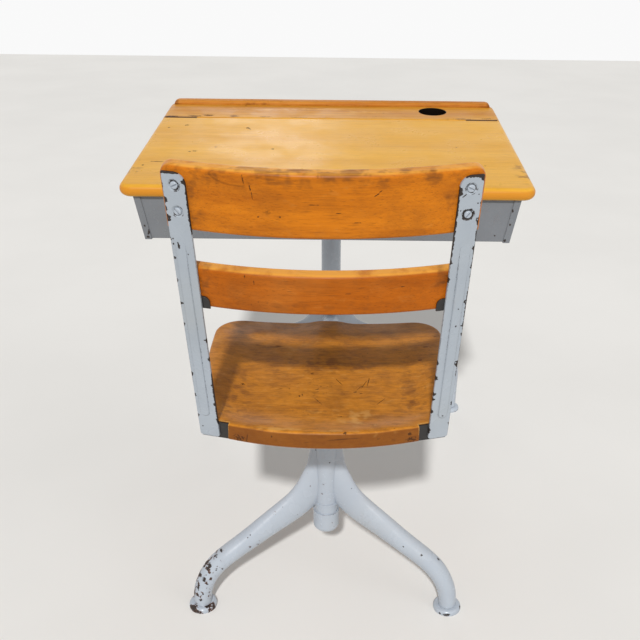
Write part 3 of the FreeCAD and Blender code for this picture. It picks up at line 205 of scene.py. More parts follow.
# Levels of the white world as light on the object and as its background, and half the floor's width
WORLD_LEVEL = 0.40
BACKGROUND_LEVEL = 0.95
FLOOR_REACH = 6.0


def linear(colour):
    """The colour as Blender's linear values."""
    shares = [value / 255 for value in colour]
    return tuple(s / 12.92 if s <= 0.04045 else ((s + 0.055) / 1.055) ** 2.4 for s in shares) + (1.0,)


def place_camera():
    pitch, yaw, roll = (math.radians(v) for v in (CAMERA_PITCH, CAMERA_YAW, CAMERA_ROLL))
    ahead = Vector((math.sin(yaw) * math.cos(pitch), math.cos(yaw) * math.cos(pitch), -math.sin(pitch)))
    level_right = Vector((math.cos(yaw), -math.sin(yaw), 0))
    level_up = level_right.cross(ahead)
    right = level_right * math.cos(roll) - level_up * math.sin(roll)
    up = level_right * math.sin(roll) + level_up * math.cos(roll)
    data = bpy.data.cameras.new("camera")
    data.sensor_width = SENSOR_WIDTH
    data.lens = FOCAL_PIXELS * SENSOR_WIDTH / PICTURE_PIXELS
    half = PICTURE_PIXELS / 2
    data.shift_x = (half - IMAGE_CENTRE[0]) / PICTURE_PIXELS
    data.shift_y = (IMAGE_CENTRE[1] - half) / PICTURE_PIXELS
    camera = bpy.data.objects.new("camera", data)
    turn = Matrix((right, up, -ahead)).transposed()
    camera.matrix_world = Matrix.Translation(CAMERA_PLACE) @ turn.to_4x4()
    bpy.context.scene.collection.objects.link(camera)
    bpy.context.scene.camera = camera


place_camera()


# Node building

class Shader:
    """One material and short words for its nodes."""

    def __init__(self, name):
        self.material = bpy.data.materials.new(name)
        self.material.use_nodes = True
        self.tree = self.material.node_tree
        self.surface = self.tree.nodes["Principled BSDF"]
        self.place = self.node("ShaderNodeTexCoord").outputs["Object"]
        self.softened = None

    def node(self, kind, values=None, **settings):
        made = self.tree.nodes.new(kind)
        for key, value in settings.items():
            setattr(made, key, value)
        for key, value in (values or {}).items():
            self.put(made.inputs[key], value)
        return made

    def put(self, socket, value):
        if isinstance(value, bpy.types.NodeSocket):
            self.tree.links.new(value, socket)
        else:
            socket.default_value = value

    def finish(self, **values):
        """Sets sockets of the surface, named in lower case with underscores."""
        for key, value in values.items():
            self.put(self.surface.inputs[key.replace("_", " ").title().replace("Ior", "IOR")], value)

    def maths(self, operation, first, second=0.0, third=None):
        values = {0: first, 1: second}
        if third is not None:
            values[2] = third
        return self.node("ShaderNodeMath", values, operation=operation).outputs[0]

    def stretched(self, scale, turn=(0, 0, 0), shift=(0, 0, 0)):
        values = {"Vector": self.place, "Scale": scale, "Rotation": turn, "Location": shift}
        return self.node("ShaderNodeMapping", values).outputs["Vector"]

    def noise(self, scale, detail, roughness=0.55, distortion=0.0, at=None):
        values = {"Vector": at or self.place, "Scale": scale, "Detail": detail,
                  "Roughness": roughness, "Distortion": distortion}
        return self.node("ShaderNodeTexNoise", values).outputs["Fac"]

    def figure(self, stretch, detail, roughness, distortion=0.0, turn=(0, 0, 0), shift=(0, 0, 0)):
        """A noise with its own stretch along each axis."""
        at = self.stretched(stretch, turn, shift)
        return self.noise(1.0, detail, roughness, distortion, at)

    def remap(self, value, low, high, out_low=0.0, out_high=1.0):
        """Rises smoothly from out_low to out_high while the value goes from low to high."""
        values = {"Value": value, "From Min": low, "From Max": high, "To Min": out_low, "To Max": out_high}
        made = self.node("ShaderNodeMapRange", values, clamp=True, interpolation_type="SMOOTHSTEP")
        return made.outputs["Result"]

    def patches(self, pattern, low, high, share=1.0):
        """Rises from 0 to share where a noise goes from low to high. pattern is a row of the noises above."""
        return self.remap(self.noise(*pattern), low, high, 0.0, share)

    def mix(self, share, first, second):
        made = self.node("ShaderNodeMix", data_type="RGBA")
        self.put(made.inputs["Factor"], share)
        for socket, value in (("A", first), ("B", second)):
            target = [s for s in made.inputs if s.name == socket and s.type == "RGBA"][0]
            self.put(target, value)
        return [s for s in made.outputs if s.type == "RGBA"][0]

    def largest(self, values):
        total = values[0]
        for value in values[1:]:
            total = self.maths("MAXIMUM", total, value)
        return total

    def rounded(self, radius):
        return self.node("ShaderNodeBevel", {"Radius": radius}, samples=BEVEL_SAMPLES).outputs["Normal"]

    def soften(self, radius):
        """Makes relief() start from normals that are rounded at edges."""
        self.softened = self.rounded(radius)

    def edges(self, radius, low=0.02, high=0.3):
        """1 on edges and 0 on open surfaces, by how far the rounded normal leaves the real one."""
        rounded = self.rounded(radius)
        plain = self.node("ShaderNodeNewGeometry").outputs["Normal"]
        dot = self.node("ShaderNodeVectorMath", {0: rounded, 1: plain}, operation="DOT_PRODUCT")
        turned = self.maths("SUBTRACT", 1.0, dot.outputs["Value"])
        return self.remap(turned, low, high)

    def flecks(self, scale, size, rarity, at):
        """Small separate specks, one in some of the cells of a cell pattern."""
        cells = self.node("ShaderNodeTexVoronoi", {"Vector": at, "Scale": scale, "Randomness": 1.0})
        near = self.remap(cells.outputs["Distance"], size, size * 0.5)
        grey = self.node("ShaderNodeSeparateColor", {"Color": cells.outputs["Color"]}).outputs["Red"]
        chosen = self.remap(grey, rarity, rarity + 0.01)
        return self.maths("MULTIPLY", near, chosen)

    def spots(self, marks, ragged=0.35, at=None, grain=420.0, soft=0.8):
        """Marks at chosen places, with borders that wander by a noise.

        A mark is x, y, z, half x, half y and half z in millimetres, and a turn in degrees where it has one.
        """
        nearest = None
        for x, y, z, half_x, half_y, half_z, *turn in marks:
            turns = [math.radians(v) for v in turn[0]] if turn else [0, 0, 0]
            centre = tuple(v / MM_PER_METRE for v in (x, y, z))
            halves = tuple(v / MM_PER_METRE for v in (half_x, half_y, half_z))
            values = {"Vector": at or self.place, "Location": centre, "Rotation": turns, "Scale": halves}
            scaled = self.node("ShaderNodeMapping", values, vector_type="TEXTURE").outputs[0]
            length = self.node("ShaderNodeVectorMath", {0: scaled}, operation="LENGTH").outputs["Value"]
            nearest = length if nearest is None else self.maths("MINIMUM", nearest, length)
        wander = self.remap(self.noise(grain, 2.0), *BORDER_NOISE, -ragged, ragged)
        return self.remap(self.maths("ADD", nearest, wander), 1.0, soft)

    def profile(self, height, rows):
        """Depth of wear by height in millimetres: flat-topped bumps, as (centre, half height, depth)."""
        curve = self.node("ShaderNodeFloatCurve", {"Value": self.maths("DIVIDE", height, PROFILE_HEIGHT)})
        points = curve.mapping.curves[0].points
        depths = []
        for i in range(PROFILE_STEPS + 1):
            here = PROFILE_HEIGHT * i / PROFILE_STEPS
            bumps = [depth * max(0.0, 1 - ((here - centre) / half) ** 4) for centre, half, depth in rows]
            depths.append(max(bumps))
        points[0].location = (0.0, depths[0] / PROFILE_DEPTH)
        points[1].location = (1.0, depths[-1] / PROFILE_DEPTH)
        for i in range(1, PROFILE_STEPS):
            points.new(i / PROFILE_STEPS, depths[i] / PROFILE_DEPTH)
        curve.mapping.update()
        return self.maths("MULTIPLY", curve.outputs["Value"], PROFILE_DEPTH)

    def relief(self, height, distance, strength):
        values = {"Height": height, "Distance": distance, "Strength": strength}
        if self.softened:
            values["Normal"] = self.softened
        self.finish(normal=self.node("ShaderNodeBump", values).outputs["Normal"])

    def on_upright(self, side):
        """Coordinates on an upright: across it (outwards is positive), through it and up along it."""
        flipped = self.node("ShaderNodeMapping", {"Vector": self.place, "Scale": (side, 1, 1)}).outputs[0]
        turn = (Matrix.Rotation(BACK_LEAN, 3, "X") @ Matrix.Rotation(BACK_TURN, 3, "Z")
                @ Matrix.Rotation(UPRIGHT_SPLAY, 3, "Y")).to_euler("XYZ")
        values = {"Vector": flipped, "Location": UPRIGHT_FOOT, "Rotation": tuple(turn)}
        return self.node("ShaderNodeMapping", values, vector_type="TEXTURE").outputs[0]


# Paint

def painted(name, colours=(PAINT, PAINT_SHADE, PAINT_YELLOWED), edge_radius=0.003, edge_push=0.30,
            chip_level=0.80, heavy=(), marks=(), calm=(), upright=None, softness=PAINT_SOFTNESS):
    """Old pale enamel with chips down to dark primer and rust.

    A lower chip_level means more chips, and edge_push adds to them along edges. heavy gives places of large
    flakes, marks single chips, and calm places that have hardly any.
    """
    made = Shader(name)
    made.soften(softness)
    colour = enamel_colour(made, colours)
    chips, core = edge_chips(made, edge_radius, edge_push, chip_level, calm)
    if heavy:
        chips, core = large_flakes(made, heavy, chips, core)
    at = made.on_upright(upright["side"]) if upright else None
    placed = []
    if marks:
        placed.append(made.spots(marks, at=at))
    if upright:
        placed.extend(upright_wear(made, at, upright))
    bare = made.largest([chips] + placed)
    depth = made.largest([core] + placed)
    bare_colour = made.mix(depth, linear(CHIP_RIM), linear(CHIP_CORE))
    gloss = made.remap(made.noise(*PAINT_GLOSS_DRIFT), *USUAL_NOISE, *PAINT_GLOSS)
    made.finish(base_color=made.mix(bare, colour, bare_colour),
                roughness=made.maths("MULTIPLY_ADD", bare, BARE_ROUGHER, gloss), specular_ior_level=0.5)
    peel = made.maths("MULTIPLY", made.noise(*PAINT_PEEL), 0.05)
    made.relief(made.maths("MULTIPLY_ADD", bare, -1.0, peel), PAINT_RELIEF, strength=0.6)
    return made


def enamel_colour(made, colours):
    """Enamel that drifts between two shades, with yellowed patches and faint brown smudges."""
    clean, shade, yellowed = (linear(c) for c in colours)
    colour = made.mix(made.patches(PAINT_SHADES, low=0.2, high=0.8), clean, shade)
    colour = made.mix(made.patches(PAINT_YELLOWING, low=0.5, high=0.74, share=0.35), colour, yellowed)
    smudges = made.noise(*PAINT_SMUDGES, 0.0, made.stretched((1, 1, 0.35)))
    return made.mix(made.remap(smudges, 0.58, 0.72, 0.0, 0.07), colour, linear(WOOD_STAIN))


def edge_chips(made, edge_radius, edge_push, chip_level, calm):
    """Small chips, mostly along edges, and the darker cores of the larger ones."""
    edge = made.edges(edge_radius)
    level = made.maths("MULTIPLY_ADD", edge, edge_push, made.noise(*PAINT_CHIPS))
    regions = made.remap(made.noise(*PAINT_CHIP_REGIONS), 0.42, 0.68, out_low=-0.08, out_high=0.10)
    level = made.maths("ADD", level, regions)
    if calm:
        level = made.maths("MULTIPLY_ADD", made.spots(calm, ragged=0.0, soft=0.7), -0.4, level)
    chips = made.remap(level, chip_level, chip_level + 0.02)
    core = made.remap(level, chip_level + 0.015, chip_level + 0.06)
    return chips, core


def large_flakes(made, heavy, chips, core):
    """Adds the large flakes near the given places to the chips and their cores."""
    coarse = made.noise(*PAINT_FLAKES)
    for spot, push in heavy:
        near = made.spots([spot], ragged=0.3, grain=60.0, soft=0.2)
        coarse = made.maths("MULTIPLY_ADD", near, push, coarse)
    chips = made.maths("MAXIMUM", chips, made.remap(coarse, 0.70, 0.71))
    core = made.maths("MAXIMUM", core, made.remap(coarse, 0.71, 0.79))
    return chips, core


def upright_wear(made, at, upright):
    """Chips along an upright's two edges, its dark top edge and the broken rings round its screws, the outer
    ring of each screw being painted shade at the edge of its dimple.
    """
    parts = made.node("ShaderNodeSeparateXYZ", {"Vector": at}).outputs
    height = made.maths("MULTIPLY", parts["Z"], MM_PER_METRE)
    wander = made.remap(made.noise(*UPRIGHT_EDGE_DRIFT), *USUAL_NOISE, out_low=-0.7, out_high=0.7)
    worn = []
    for outwards, rows in ((1, upright["outer"]), (-1, upright["inner"])):
        inset = made.maths("MULTIPLY_ADD", parts["X"], -MM_PER_METRE * outwards, STRIP_HALF_WIDTH)
        depth = made.profile(height, rows)
        missing = made.maths("MULTIPLY", depth, made.maths("ADD", wander, 1.0))
        worn.append(made.remap(made.maths("SUBTRACT", missing, inset), 0.0, 0.25))
    worn.append(made.remap(made.maths("MULTIPLY_ADD", wander, 0.8, height), *TOP_EDGE_WEAR))
    for row in upright["rings"]:
        worn.append(screw_ring_and_painted_shade(made, at, *row))
    return worn


def screw_ring_and_painted_shade(made, at, height, radius, half_width, gap):
    """Dark ring round a screw on an upright, left open where a noise is below the span that gap gives.

    Close to the screw it is worn paint; further out it is a painted shadow at the edge of the dimple.
    """
    millimetre = 1 / MM_PER_METRE
    values = {"Vector": at, "Location": (0, 0, height * millimetre), "Scale": (millimetre, 1.0, millimetre)}
    flat = made.node("ShaderNodeMapping", values, vector_type="TEXTURE").outputs[0]
    length = made.node("ShaderNodeVectorMath", {0: flat}, operation="LENGTH").outputs["Value"]
    off = made.maths("ABSOLUTE", made.maths("SUBTRACT", length, radius))
    wander = made.remap(made.noise(*RING_MARK_DRIFT), *USUAL_NOISE, -half_width * 0.5, half_width * 0.5)
    ring = made.remap(made.maths("ADD", off, wander), half_width, half_width * 0.7)
    broken = made.patches(RING_MARK_BREAKS, *gap)
    return made.maths("MULTIPLY", ring, broken)


def black_painted(name):
    """Black enamel, rubbed brown and dusty on its edges."""
    made = Shader(name)
    made.soften(BLACK_SOFTNESS)
    rubbed = made.maths("MULTIPLY", made.edges(0.0015), made.patches(BLACK_RUBS, low=0.42, high=0.6))
    dust = made.patches(BLACK_DUST, low=0.5, high=0.72, share=0.35)
    worn = made.largest([rubbed, dust])
    made.finish(base_color=made.mix(worn, linear(BLACK_ENAMEL), linear(BLACK_WORN)),
                roughness=made.remap(worn, 0.0, 1.0, out_low=0.34, out_high=0.62), specular_ior_level=0.5)
    made.relief(made.noise(*BLACK_PEEL), FINE_RELIEF, strength=0.5)
    return made


# Wood

def wooden(name, light, dark, seed=0.0, band=(1.3, 16.0, 26.0), contrast=(0.42, 0.74), gloss=(0.30, 0.46),
           mottle=0.0, grime=0.5, nicks=0.96, scratch=0.55, worn_edges=0.5, dark_edges=0.0, edge_radius=0.005,
           pale=0.2, specular=0.2, blotch=0.12, pore=0.24, painted_side_shade=None, painted_top_light=None, underside=None,
           marks=(), stain_and_painted_shade=(), worn_spots=(), painted_shade_spots=()):
    """Varnished maple or birch with its grain along X, worn and marked.

    band is the stretch of the growth rings, contrast the span of tones from light to dark, and gloss the
    span of roughness. mottle, blotch, pale, pore, grime, scratch, worn_edges and dark_edges say how strong
    each is, up to 1. nicks says how rare dents are. Of the tones for upright sides, tops and undersides, the
    one for sides is painted shade and the one for tops painted light. Stain places darken the wood, at the
    slats' ends beside the uprights as painted shade, and the near black places are painted shade.
    """
    made = Shader(name)
    made.soften(WOOD_SOFTNESS)
    shift = (seed, seed * 1.7, seed * 0.6)
    rings = made.figure(band, *WOOD_RINGS, shift=shift)
    fibres = made.figure(*WOOD_FIBRES, shift=shift)
    streaks = made.figure(*WOOD_STREAKS, shift=shift)
    pores = made.figure(*WOOD_PORES, shift=shift)
    tone = made.maths("MULTIPLY_ADD", fibres, FIBRES_IN_TONE, made.maths("MULTIPLY", rings, RINGS_IN_TONE))
    tone = made.maths("MULTIPLY_ADD", streaks, STREAKS_IN_TONE, tone)
    colour = made.mix(made.remap(tone, *contrast), linear(light), linear(dark))
    colour = clouded(made, colour, shift, mottle, blotch, pale)
    colour = made.mix(made.remap(pores, 0.58, 0.70, out_high=pore), colour, linear(WOOD_GRIME))
    colour = tinted_by_facing(made, colour, painted_side_shade, painted_top_light, underside)
    edge = made.edges(edge_radius, 0.01, 0.22)
    colour = rubbed_pale(made, colour, edge, worn_edges, worn_spots)
    # Stains, and on the slats darker ends beside the uprights as painted shade
    if stain_and_painted_shade:
        stain_and_painted_shade_mask = made.spots(stain_and_painted_shade, ragged=0.7, grain=60.0, soft=-0.4)
        uneven = made.remap(fibres, 0.35, 0.65, out_low=0.35, out_high=0.80)
        colour = made.mix(made.maths("MULTIPLY", stain_and_painted_shade_mask, uneven), colour, linear(WOOD_STAIN))
    soil = wood_soil(made, edge, seed, grime, nicks, scratch, dark_edges, marks)
    colour = made.mix(soil, colour, linear(WOOD_GRIME))
    # Painted shade: places made near black, such as the inkwell hole
    if painted_shade_spots:
        hollow = made.spots(painted_shade_spots, ragged=0.0, soft=0.975)
        colour = made.mix(hollow, colour, linear(HOLE_PAINTED_SHADE))
    shine = made.remap(made.noise(*WOOD_GLOSS_DRIFT), 0.35, 0.68, *gloss)
    made.finish(base_color=colour, roughness=made.maths("MULTIPLY_ADD", soil, SOIL_ROUGHER, shine),
                specular_ior_level=specular)
    grain = made.maths("MULTIPLY", fibres, 0.35)
    made.relief(made.maths("MULTIPLY_ADD", soil, -0.9, grain), WOOD_RELIEF, strength=0.5)
    return made


def clouded(made, colour, shift, mottle, blotch, pale):
    """Brown clouds, small dark and light blotches, and wide pale areas, each up to its own share."""
    if mottle:
        clouds = made.figure(*WOOD_CLOUDS, shift=shift)
        colour = made.mix(made.remap(clouds, 0.44, 0.68, out_high=mottle), colour, linear(WOOD_STAIN))
    small = made.figure(*WOOD_BLOTCHES, shift=shift)
    colour = made.mix(made.remap(small, 0.46, 0.70, out_high=blotch), colour, linear(WOOD_STAIN))
    colour = made.mix(made.remap(small, 0.46, 0.28, out_high=blotch * 0.6), colour, linear(WOOD_WORN))
    return made.mix(made.patches(WOOD_PALE_AREAS, 0.54, 0.80, pale), colour, linear(WOOD_WORN))


def tinted_by_facing(made, colour, painted_side_shade, painted_top_light, underside):
    """Painted shade as a darker tone on sides that stand upright, painted light as a paler tone on tops, and
    another tone on undersides, where they are given.
    """
    facing = made.node("ShaderNodeTexCoord").outputs["Normal"]
    level = made.node("ShaderNodeSeparateXYZ", {"Vector": facing}).outputs["Z"]
    if painted_side_shade:
        # Painted shade: a darker tone on sides that stand upright
        upright = made.remap(made.maths("ABSOLUTE", level), 0.8, 0.35, out_high=0.8)
        colour = made.mix(upright, colour, linear(painted_side_shade))
    if painted_top_light:
        # Painted light: a paler tone in patches on tops
        patchy = made.remap(made.noise(*WOOD_CROWN_PATCHES), 0.36, 0.56, out_low=0.35, out_high=0.95)
        share = made.maths("MULTIPLY", made.remap(level, 0.45, 0.85), patchy)
        colour = made.mix(share, colour, linear(painted_top_light))
    if underside:
        colour = made.mix(made.remap(level, -0.6, -0.9, out_high=0.70), colour, linear(underside))
    return colour


def rubbed_pale(made, colour, edge, worn_edges, worn_spots):
    """Varnish rubbed off along edges and in the given places."""
    rub = made.maths("MULTIPLY", edge, made.patches(WOOD_EDGE_RUBS, 0.38, 0.62, worn_edges))
    colour = made.mix(rub, colour, linear(WOOD_WORN))
    if worn_spots:
        rubbed = made.spots(worn_spots, ragged=0.9, grain=55.0, soft=-0.6)
        colour = made.mix(made.maths("MULTIPLY", rubbed, 0.42), colour, linear(WOOD_WORN))
    return colour


def wood_soil(made, edge, seed, grime, nicks, scratch, dark_edges, marks):
    """Dirt in patches, small dents, dark edges, scratches and the given marks, as one mask."""
    dirt = made.maths("MULTIPLY", made.patches(WOOD_DIRT, 0.60, 0.70, grime),
                      made.patches(WOOD_DIRT_REGIONS, 0.50, 0.66))
    flecks = made.flecks(scale=34.0, size=0.10, rarity=nicks, at=made.stretched((0.6, 1.0, 1.0)))
    dents = made.maths("MULTIPLY", flecks, 0.7)
    edge_dirt = made.maths("MULTIPLY", edge, made.patches(WOOD_EDGE_DIRT, 0.54, 0.64, dark_edges))
    parts = [dirt, dents, edge_dirt, made.maths("MULTIPLY", scratches(made, seed), scratch)]
    if marks:
        parts.append(made.maths("MULTIPLY", made.spots(marks), 0.85))
    return made.largest(parts)


def scratches(made, seed):
    """Thin, nearly straight scratches in two directions, only in some places."""
    lines = []
    for turn, stretch in SCRATCH_FIELDS:
        field = made.figure(stretch, detail=1.0, roughness=0.4, turn=(0, 0, turn), shift=(seed, -seed, seed))
        off = made.maths("ABSOLUTE", made.maths("SUBTRACT", field, 0.5))
        places = made.noise(17.0, 2.0, 0.5, 0.0, made.stretched((1, 1, 1), shift=(turn, seed, 0)))
        line = made.remap(off, *SCRATCH_LINE)
        lines.append(made.maths("MULTIPLY", line, made.remap(places, 0.60, 0.66)))
    return made.largest(lines)


# Bare metal

def metal(name, colour, roughness, metallic=1.0, tarnish=0.5):
    """Plain or plated metal, dull and brown in patches."""
    made = Shader(name)
    dull = made.patches(METAL_TARNISH, 0.4, 0.7, tarnish)
    tint = made.mix(dull, linear(colour), linear(CHIP_RIM))
    gloss = made.remap(made.noise(*METAL_GLOSS_DRIFT), *USUAL_NOISE, roughness, roughness + 0.2)
    made.finish(base_color=tint, metallic=metallic, roughness=gloss)
    made.relief(made.noise(*METAL_GRAIN), FINE_RELIEF, strength=0.5)
    return made


def dress(finish, *names):
    """Gives nodes of the model a finish."""
    for name in names:
        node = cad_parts[name]
        node.data.materials.clear()
        node.data.materials.append(finish.material)


def both(name):
    """The names of a pair of nodes."""
    return [f"{name}_right", f"{name}_left"]


# Wear of the uprights: rows of (height, half height, depth in from the edge) along the outer and inner edges,
# and rings round the screws as (height, radius, half width, gap): the inner ring round each screw is worn
# paint, the outer one a painted shadow at the edge of its dimple
RIGHT_WEAR = {
    "side": 1,
    "outer": [(392, 5, 4.4), (359, 3, 0.9), (337, 6, 2.4), (318, 14, 1.1), (302, 4, 2.6), (292, 18, 1.1),
              (275, 3.4, 2.4), (222, 50, 1.2), (225, 4, 3.0), (203, 3, 2.8), (189, 3.4, 2.8),
              (175, 2.6, 2.4), (128, 5.4, 4.2), (116, 10, 1.1), (60, 3.4, 2.0), (24, 3, 2.0)],
    "inner": [(376, 6, 4.8), (368, 4, 2.2), (330, 48, 1.2), (283, 3, 2.4), (258, 3.6, 1.6), (132, 3.2, 2.4),
              (107, 3.6, 3.0), (80, 3.2, 2.4), (71, 2.2, 2.2), (50, 3.2, 2.6), (15, 5, 2.0)],
    "rings": [(SCREW_HEIGHTS[0], 5.6, 0.8, (0.44, 0.52)), (SCREW_HEIGHTS[1], 6.0, 2.1, (0.32, 0.40)),
              (SCREW_HEIGHTS[0], 7.6, 0.4, (0.44, 0.56)), (SCREW_HEIGHTS[1], 8.0, 0.35, (0.50, 0.60))],
}
LEFT_WEAR = {
    "side": -1,
    "outer": [(378, 3.4, 1.8), (360, 4.4, 3.2), (349, 3, 2.4), (337, 5.2, 4.6), (309, 2, 2.2),
              (252, 3.6, 1.8), (218, 2.6, 3.2), (186, 3, 1.4), (106, 4, 2.2), (70, 3.4, 2.4), (35, 3.2, 2.4)],
    "inner": [(384, 5, 3.0), (350, 34, 1.2), (164, 3, 2.4), (134, 3.2, 2.2), (92, 3.6, 2.4), (67, 46, 1.1),
              (58, 2.8, 2.4), (30, 4, 2.4)],
    "rings": [(SCREW_HEIGHTS[0], 5.5, 1.2, (0.38, 0.46)), (SCREW_HEIGHTS[1], 5.5, 0.8, (0.38, 0.46)),
              (SCREW_HEIGHTS[0], 7.6, 0.4, (0.44, 0.56)), (SCREW_HEIGHTS[1], 7.6, 0.4, (0.44, 0.56))],
}

# Dots on the uprights, as places across, through and up along them, half sizes and a turn, in millimetres
# and degrees
RIGHT_DOTS = [
    (10, -2, 360, 1.3, 4, 1.3), (10, -2, 371, 0.8, 4, 0.8), (-10, -2, 352, 0.8, 4, 0.9),
    (3, -5, 216, 1.1, 4, 1.2), (3, -5, 190, 1.1, 4, 1.2), (2, -5, 42, 1.3, 4, 1.5),
    (-7, -3, 371, 3.2, 4, 0.8, (0, -35, 0)),
]
LEFT_DOTS = [
    (11, -2, 309, 1.3, 4, 1.5), (11.6, -2, 302, 1.5, 4, 1.9), (4.5, -4, 301, 1.9, 4, 4.4),
    (-6, -3, 290, 0.9, 4, 1.0), (12, -2, 283, 1.7, 4, 2.5), (9, -2, 16, 1.1, 4, 1.2),
]

# Chips on the legs, feet and hub, as x, y, z and half sizes in millimetres
LEFT_LEG_DOTS = [
    (-70, -209, 167, 1.5, 1.5, 1.3), (-122, -232, 128, 1.7, 1.7, 1.4), (-126, -233, 124, 1.1, 1.1, 1.0),
    (-121, -237, 108, 1.6, 1.6, 1.4), (-18, -197, 212, 1.4, 1.4, 1.3), (-168, -240, 103, 7.0, 4.0, 1.8),
    (-178, -247, 98, 4.0, 4.0, 5.0), (-188, -255, 84, 4.2, 4.5, 6.0), (-176, -257, 78, 2.2, 2.2, 3.2),
    (-167, -254, 78, 1.8, 1.8, 3.4), (-196, -262, 62, 3.2, 3.0, 6.0), (-190, -266, 53, 5.0, 2.4, 2.0),
    (-206, -262, 46, 2.0, 3.0, 9.0), (-198, -267, 34, 2.0, 2.4, 2.2), (-190, -266, 27, 2.2, 2.4, 2.4),
    (-203, -267, 22, 3.4, 2.0, 2.2), (-186, -260, 18, 3.0, 3.0, 3.0),
]
RIGHT_LEG_DOTS = [
    (42, -197, 196, 1.9, 1.9, 1.9), (47, -204, 181, 1.9, 1.9, 1.8), (92, -227, 132, 1.9, 1.9, 1.7),
    (126, -239, 113, 1.7, 1.7, 1.3), (121, -238, 117, 1.2, 1.2, 1.0), (156, -246, 103, 2.1, 2.1, 1.7),
    (184, -243, 92, 2.4, 2.6, 2.8), (196, -268, 60, 1.0, 1.0, 4.0), (200, -270, 40, 0.8, 0.8, 2.0),
]
FOOT_DOTS = [
    (200, -274, 3, 6.0, 2.6, 2.4), (189, -270, 3, 3.0, 2.4, 1.8), (223, -259, 5, 2.2, 3.6, 2.8),
    (6, -194, 244, 1.6, 1.6, 1.4),
]

# Places where the paint flakes off in large pieces, each with how much it adds to the noise of the flakes
LEFT_LEG_WEAR = [((-212, -252, 40, 34, 40, 56), 0.20), ((-196, -246, 88, 36, 36, 34), 0.18)]
FOOT_WEAR = [
    ((-202, -252, 2, 46, 46, 24), 0.27), ((202, -252, 0, 42, 42, 10), 0.14),
    ((274, 394, 0, 42, 42, 10), 0.16), ((-274, 394, 0, 42, 42, 10), 0.16),
]

# Hubs of the two posts, where the paint has hardly any chips
CALM_HUBS = [(0, -176, 206, 46, 46, 74), (0, 254, 300, 46, 46, 80)]

# Marks on the book box and the wood, as x, y, z, half sizes and a turn, in millimetres and degrees
BOX_CHIPS = [
    (-271, -124, 614, 1.6, 3, 2.0), (-266, -124, 604, 2.2, 3, 4.6), (-268, -124, 597, 3.0, 3, 1.6),
    (273, -124, 643, 1.6, 3, 2.6), (271, -124, 622, 1.4, 3, 1.8), (265, -124, 597, 2.6, 3, 2.2),
    (-115, -122, 608, 1.8, 3, 1.7), (60, -122, 601, 1.4, 3, 1.3), (250, -122, 604, 1.2, 3, 1.2),
]
LID_DENTS = [
    (-252, 168, 700, 3.4, 3.0, 4), (-280, 152, 699, 2.2, 2.2, 4), (-144, 155, 699, 3.0, 3.4, 4),
    (-185, 48, 691, 2.4, 2.0, 4), (-92, 41, 691, 2.4, 2.2, 4), (-216, 27, 690, 4.4, 2.0, 4),
    (-224, 24, 690, 2.0, 1.6, 4), (-285, -43, 684, 2.0, 2.0, 4), (-266, -26, 686, 11, 1.6, 4),
    (-140, 150, 699, 1.4, 5.0, 4, (0, 0, 30)), (208, 60, 692, 1.6, 1.4, 4), (242, -30, 685, 1.8, 1.6, 4),
]
LID_STAINS = [(-300, -70, 680, 18, 22, 12), (296, -60, 682, 12, 40, 12)]
STRIP_SMUDGES = [
    (-288, 222, 704, 20, 7, 6), (-245, 226, 705, 16, 6, 6), (-229, 231, 705, 15, 9, 6),
    (-176, 227, 705, 13, 7, 6), (-128, 222, 704, 10, 5, 6), (-300, 224, 704, 8, 12, 10),
    (230, 224, 704, 26, 6, 6), (290, 228, 704, 16, 10, 8),
]
STRIP_MARKS = [
    (-245, 225, 705, 13, 2.4, 6), (-222, 230, 705, 9, 4.0, 6), (-176, 226, 705, 7, 2.2, 6),
    (-118, 224, 705, 12, 1.2, 6), (-60, 223, 705, 16, 1.0, 6), (235, 224, 705, 16, 1.3, 6),
    (280, 226, 705, 12, 1.6, 6), (-288, 222, 705, 15, 2.0, 6),
]
STRIP_WORN = [
    (-180, 279, 709, 16, 6, 6), (-110, 270, 708, 46, 6, 6), (-30, 276, 708, 60, 7, 6),
    (60, 262, 707, 40, 6, 6),
]
# The inkwell hole, painted near black as shade
INKWELL_PAINTED_SHADE = [(186, 269, 698, 26.2, 26.2, 200)]
RAIL_STAINS = [(-296, 304, 716, 12, 14, 14), (294, 300, 716, 16, 16, 14), (-150, 298, 712, 40, 8, 5)]
TOP_SLAT_MARKS = [
    (-88.5, -409.6, 766, 0.7, 8, 5.0, (0, -8, 0)), (-81, -409, 757, 0.8, 8, 4.6, (0, -12, 0)),
    (-79, -407, 747, 0.5, 8, 5.0, (0, -6, 0)), (-73, -403, 721, 1.6, 8, 1.1), (-48, -406, 722, 1.4, 8, 1.1),
    (61, -409, 750, 3.4, 8, 0.7, (0, -35, 0)), (66, -408, 755, 2.6, 8, 0.6, (0, -40, 0)),
    (18, -410, 728, 4.0, 8, 0.6), (-10, -410, 738, 6.0, 8, 0.5), (40, -408, 716, 5.0, 8, 0.5),
]
# Stains along the top slat's upper edge; the last two darken its ends beside the uprights as painted shade
TOP_SLAT_STAIN_AND_PAINTED_SHADE = [
    (0, -412, 773, 200, 22, 14), (-112, -404, 773, 60, 20, 14), (112, -404, 773, 60, 20, 13),
    (-152, -392, 730, 13, 30, 44), (152, -392, 730, 13, 30, 44),
]
LOW_SLAT_MARKS = [
    (-94, -384, 640, 0.7, 8, 2.4), (-83, -384, 632, 0.6, 8, 3.2), (30, -392, 620, 5.0, 8, 0.6),
    (96, -384, 628, 3.0, 8, 0.6),
]
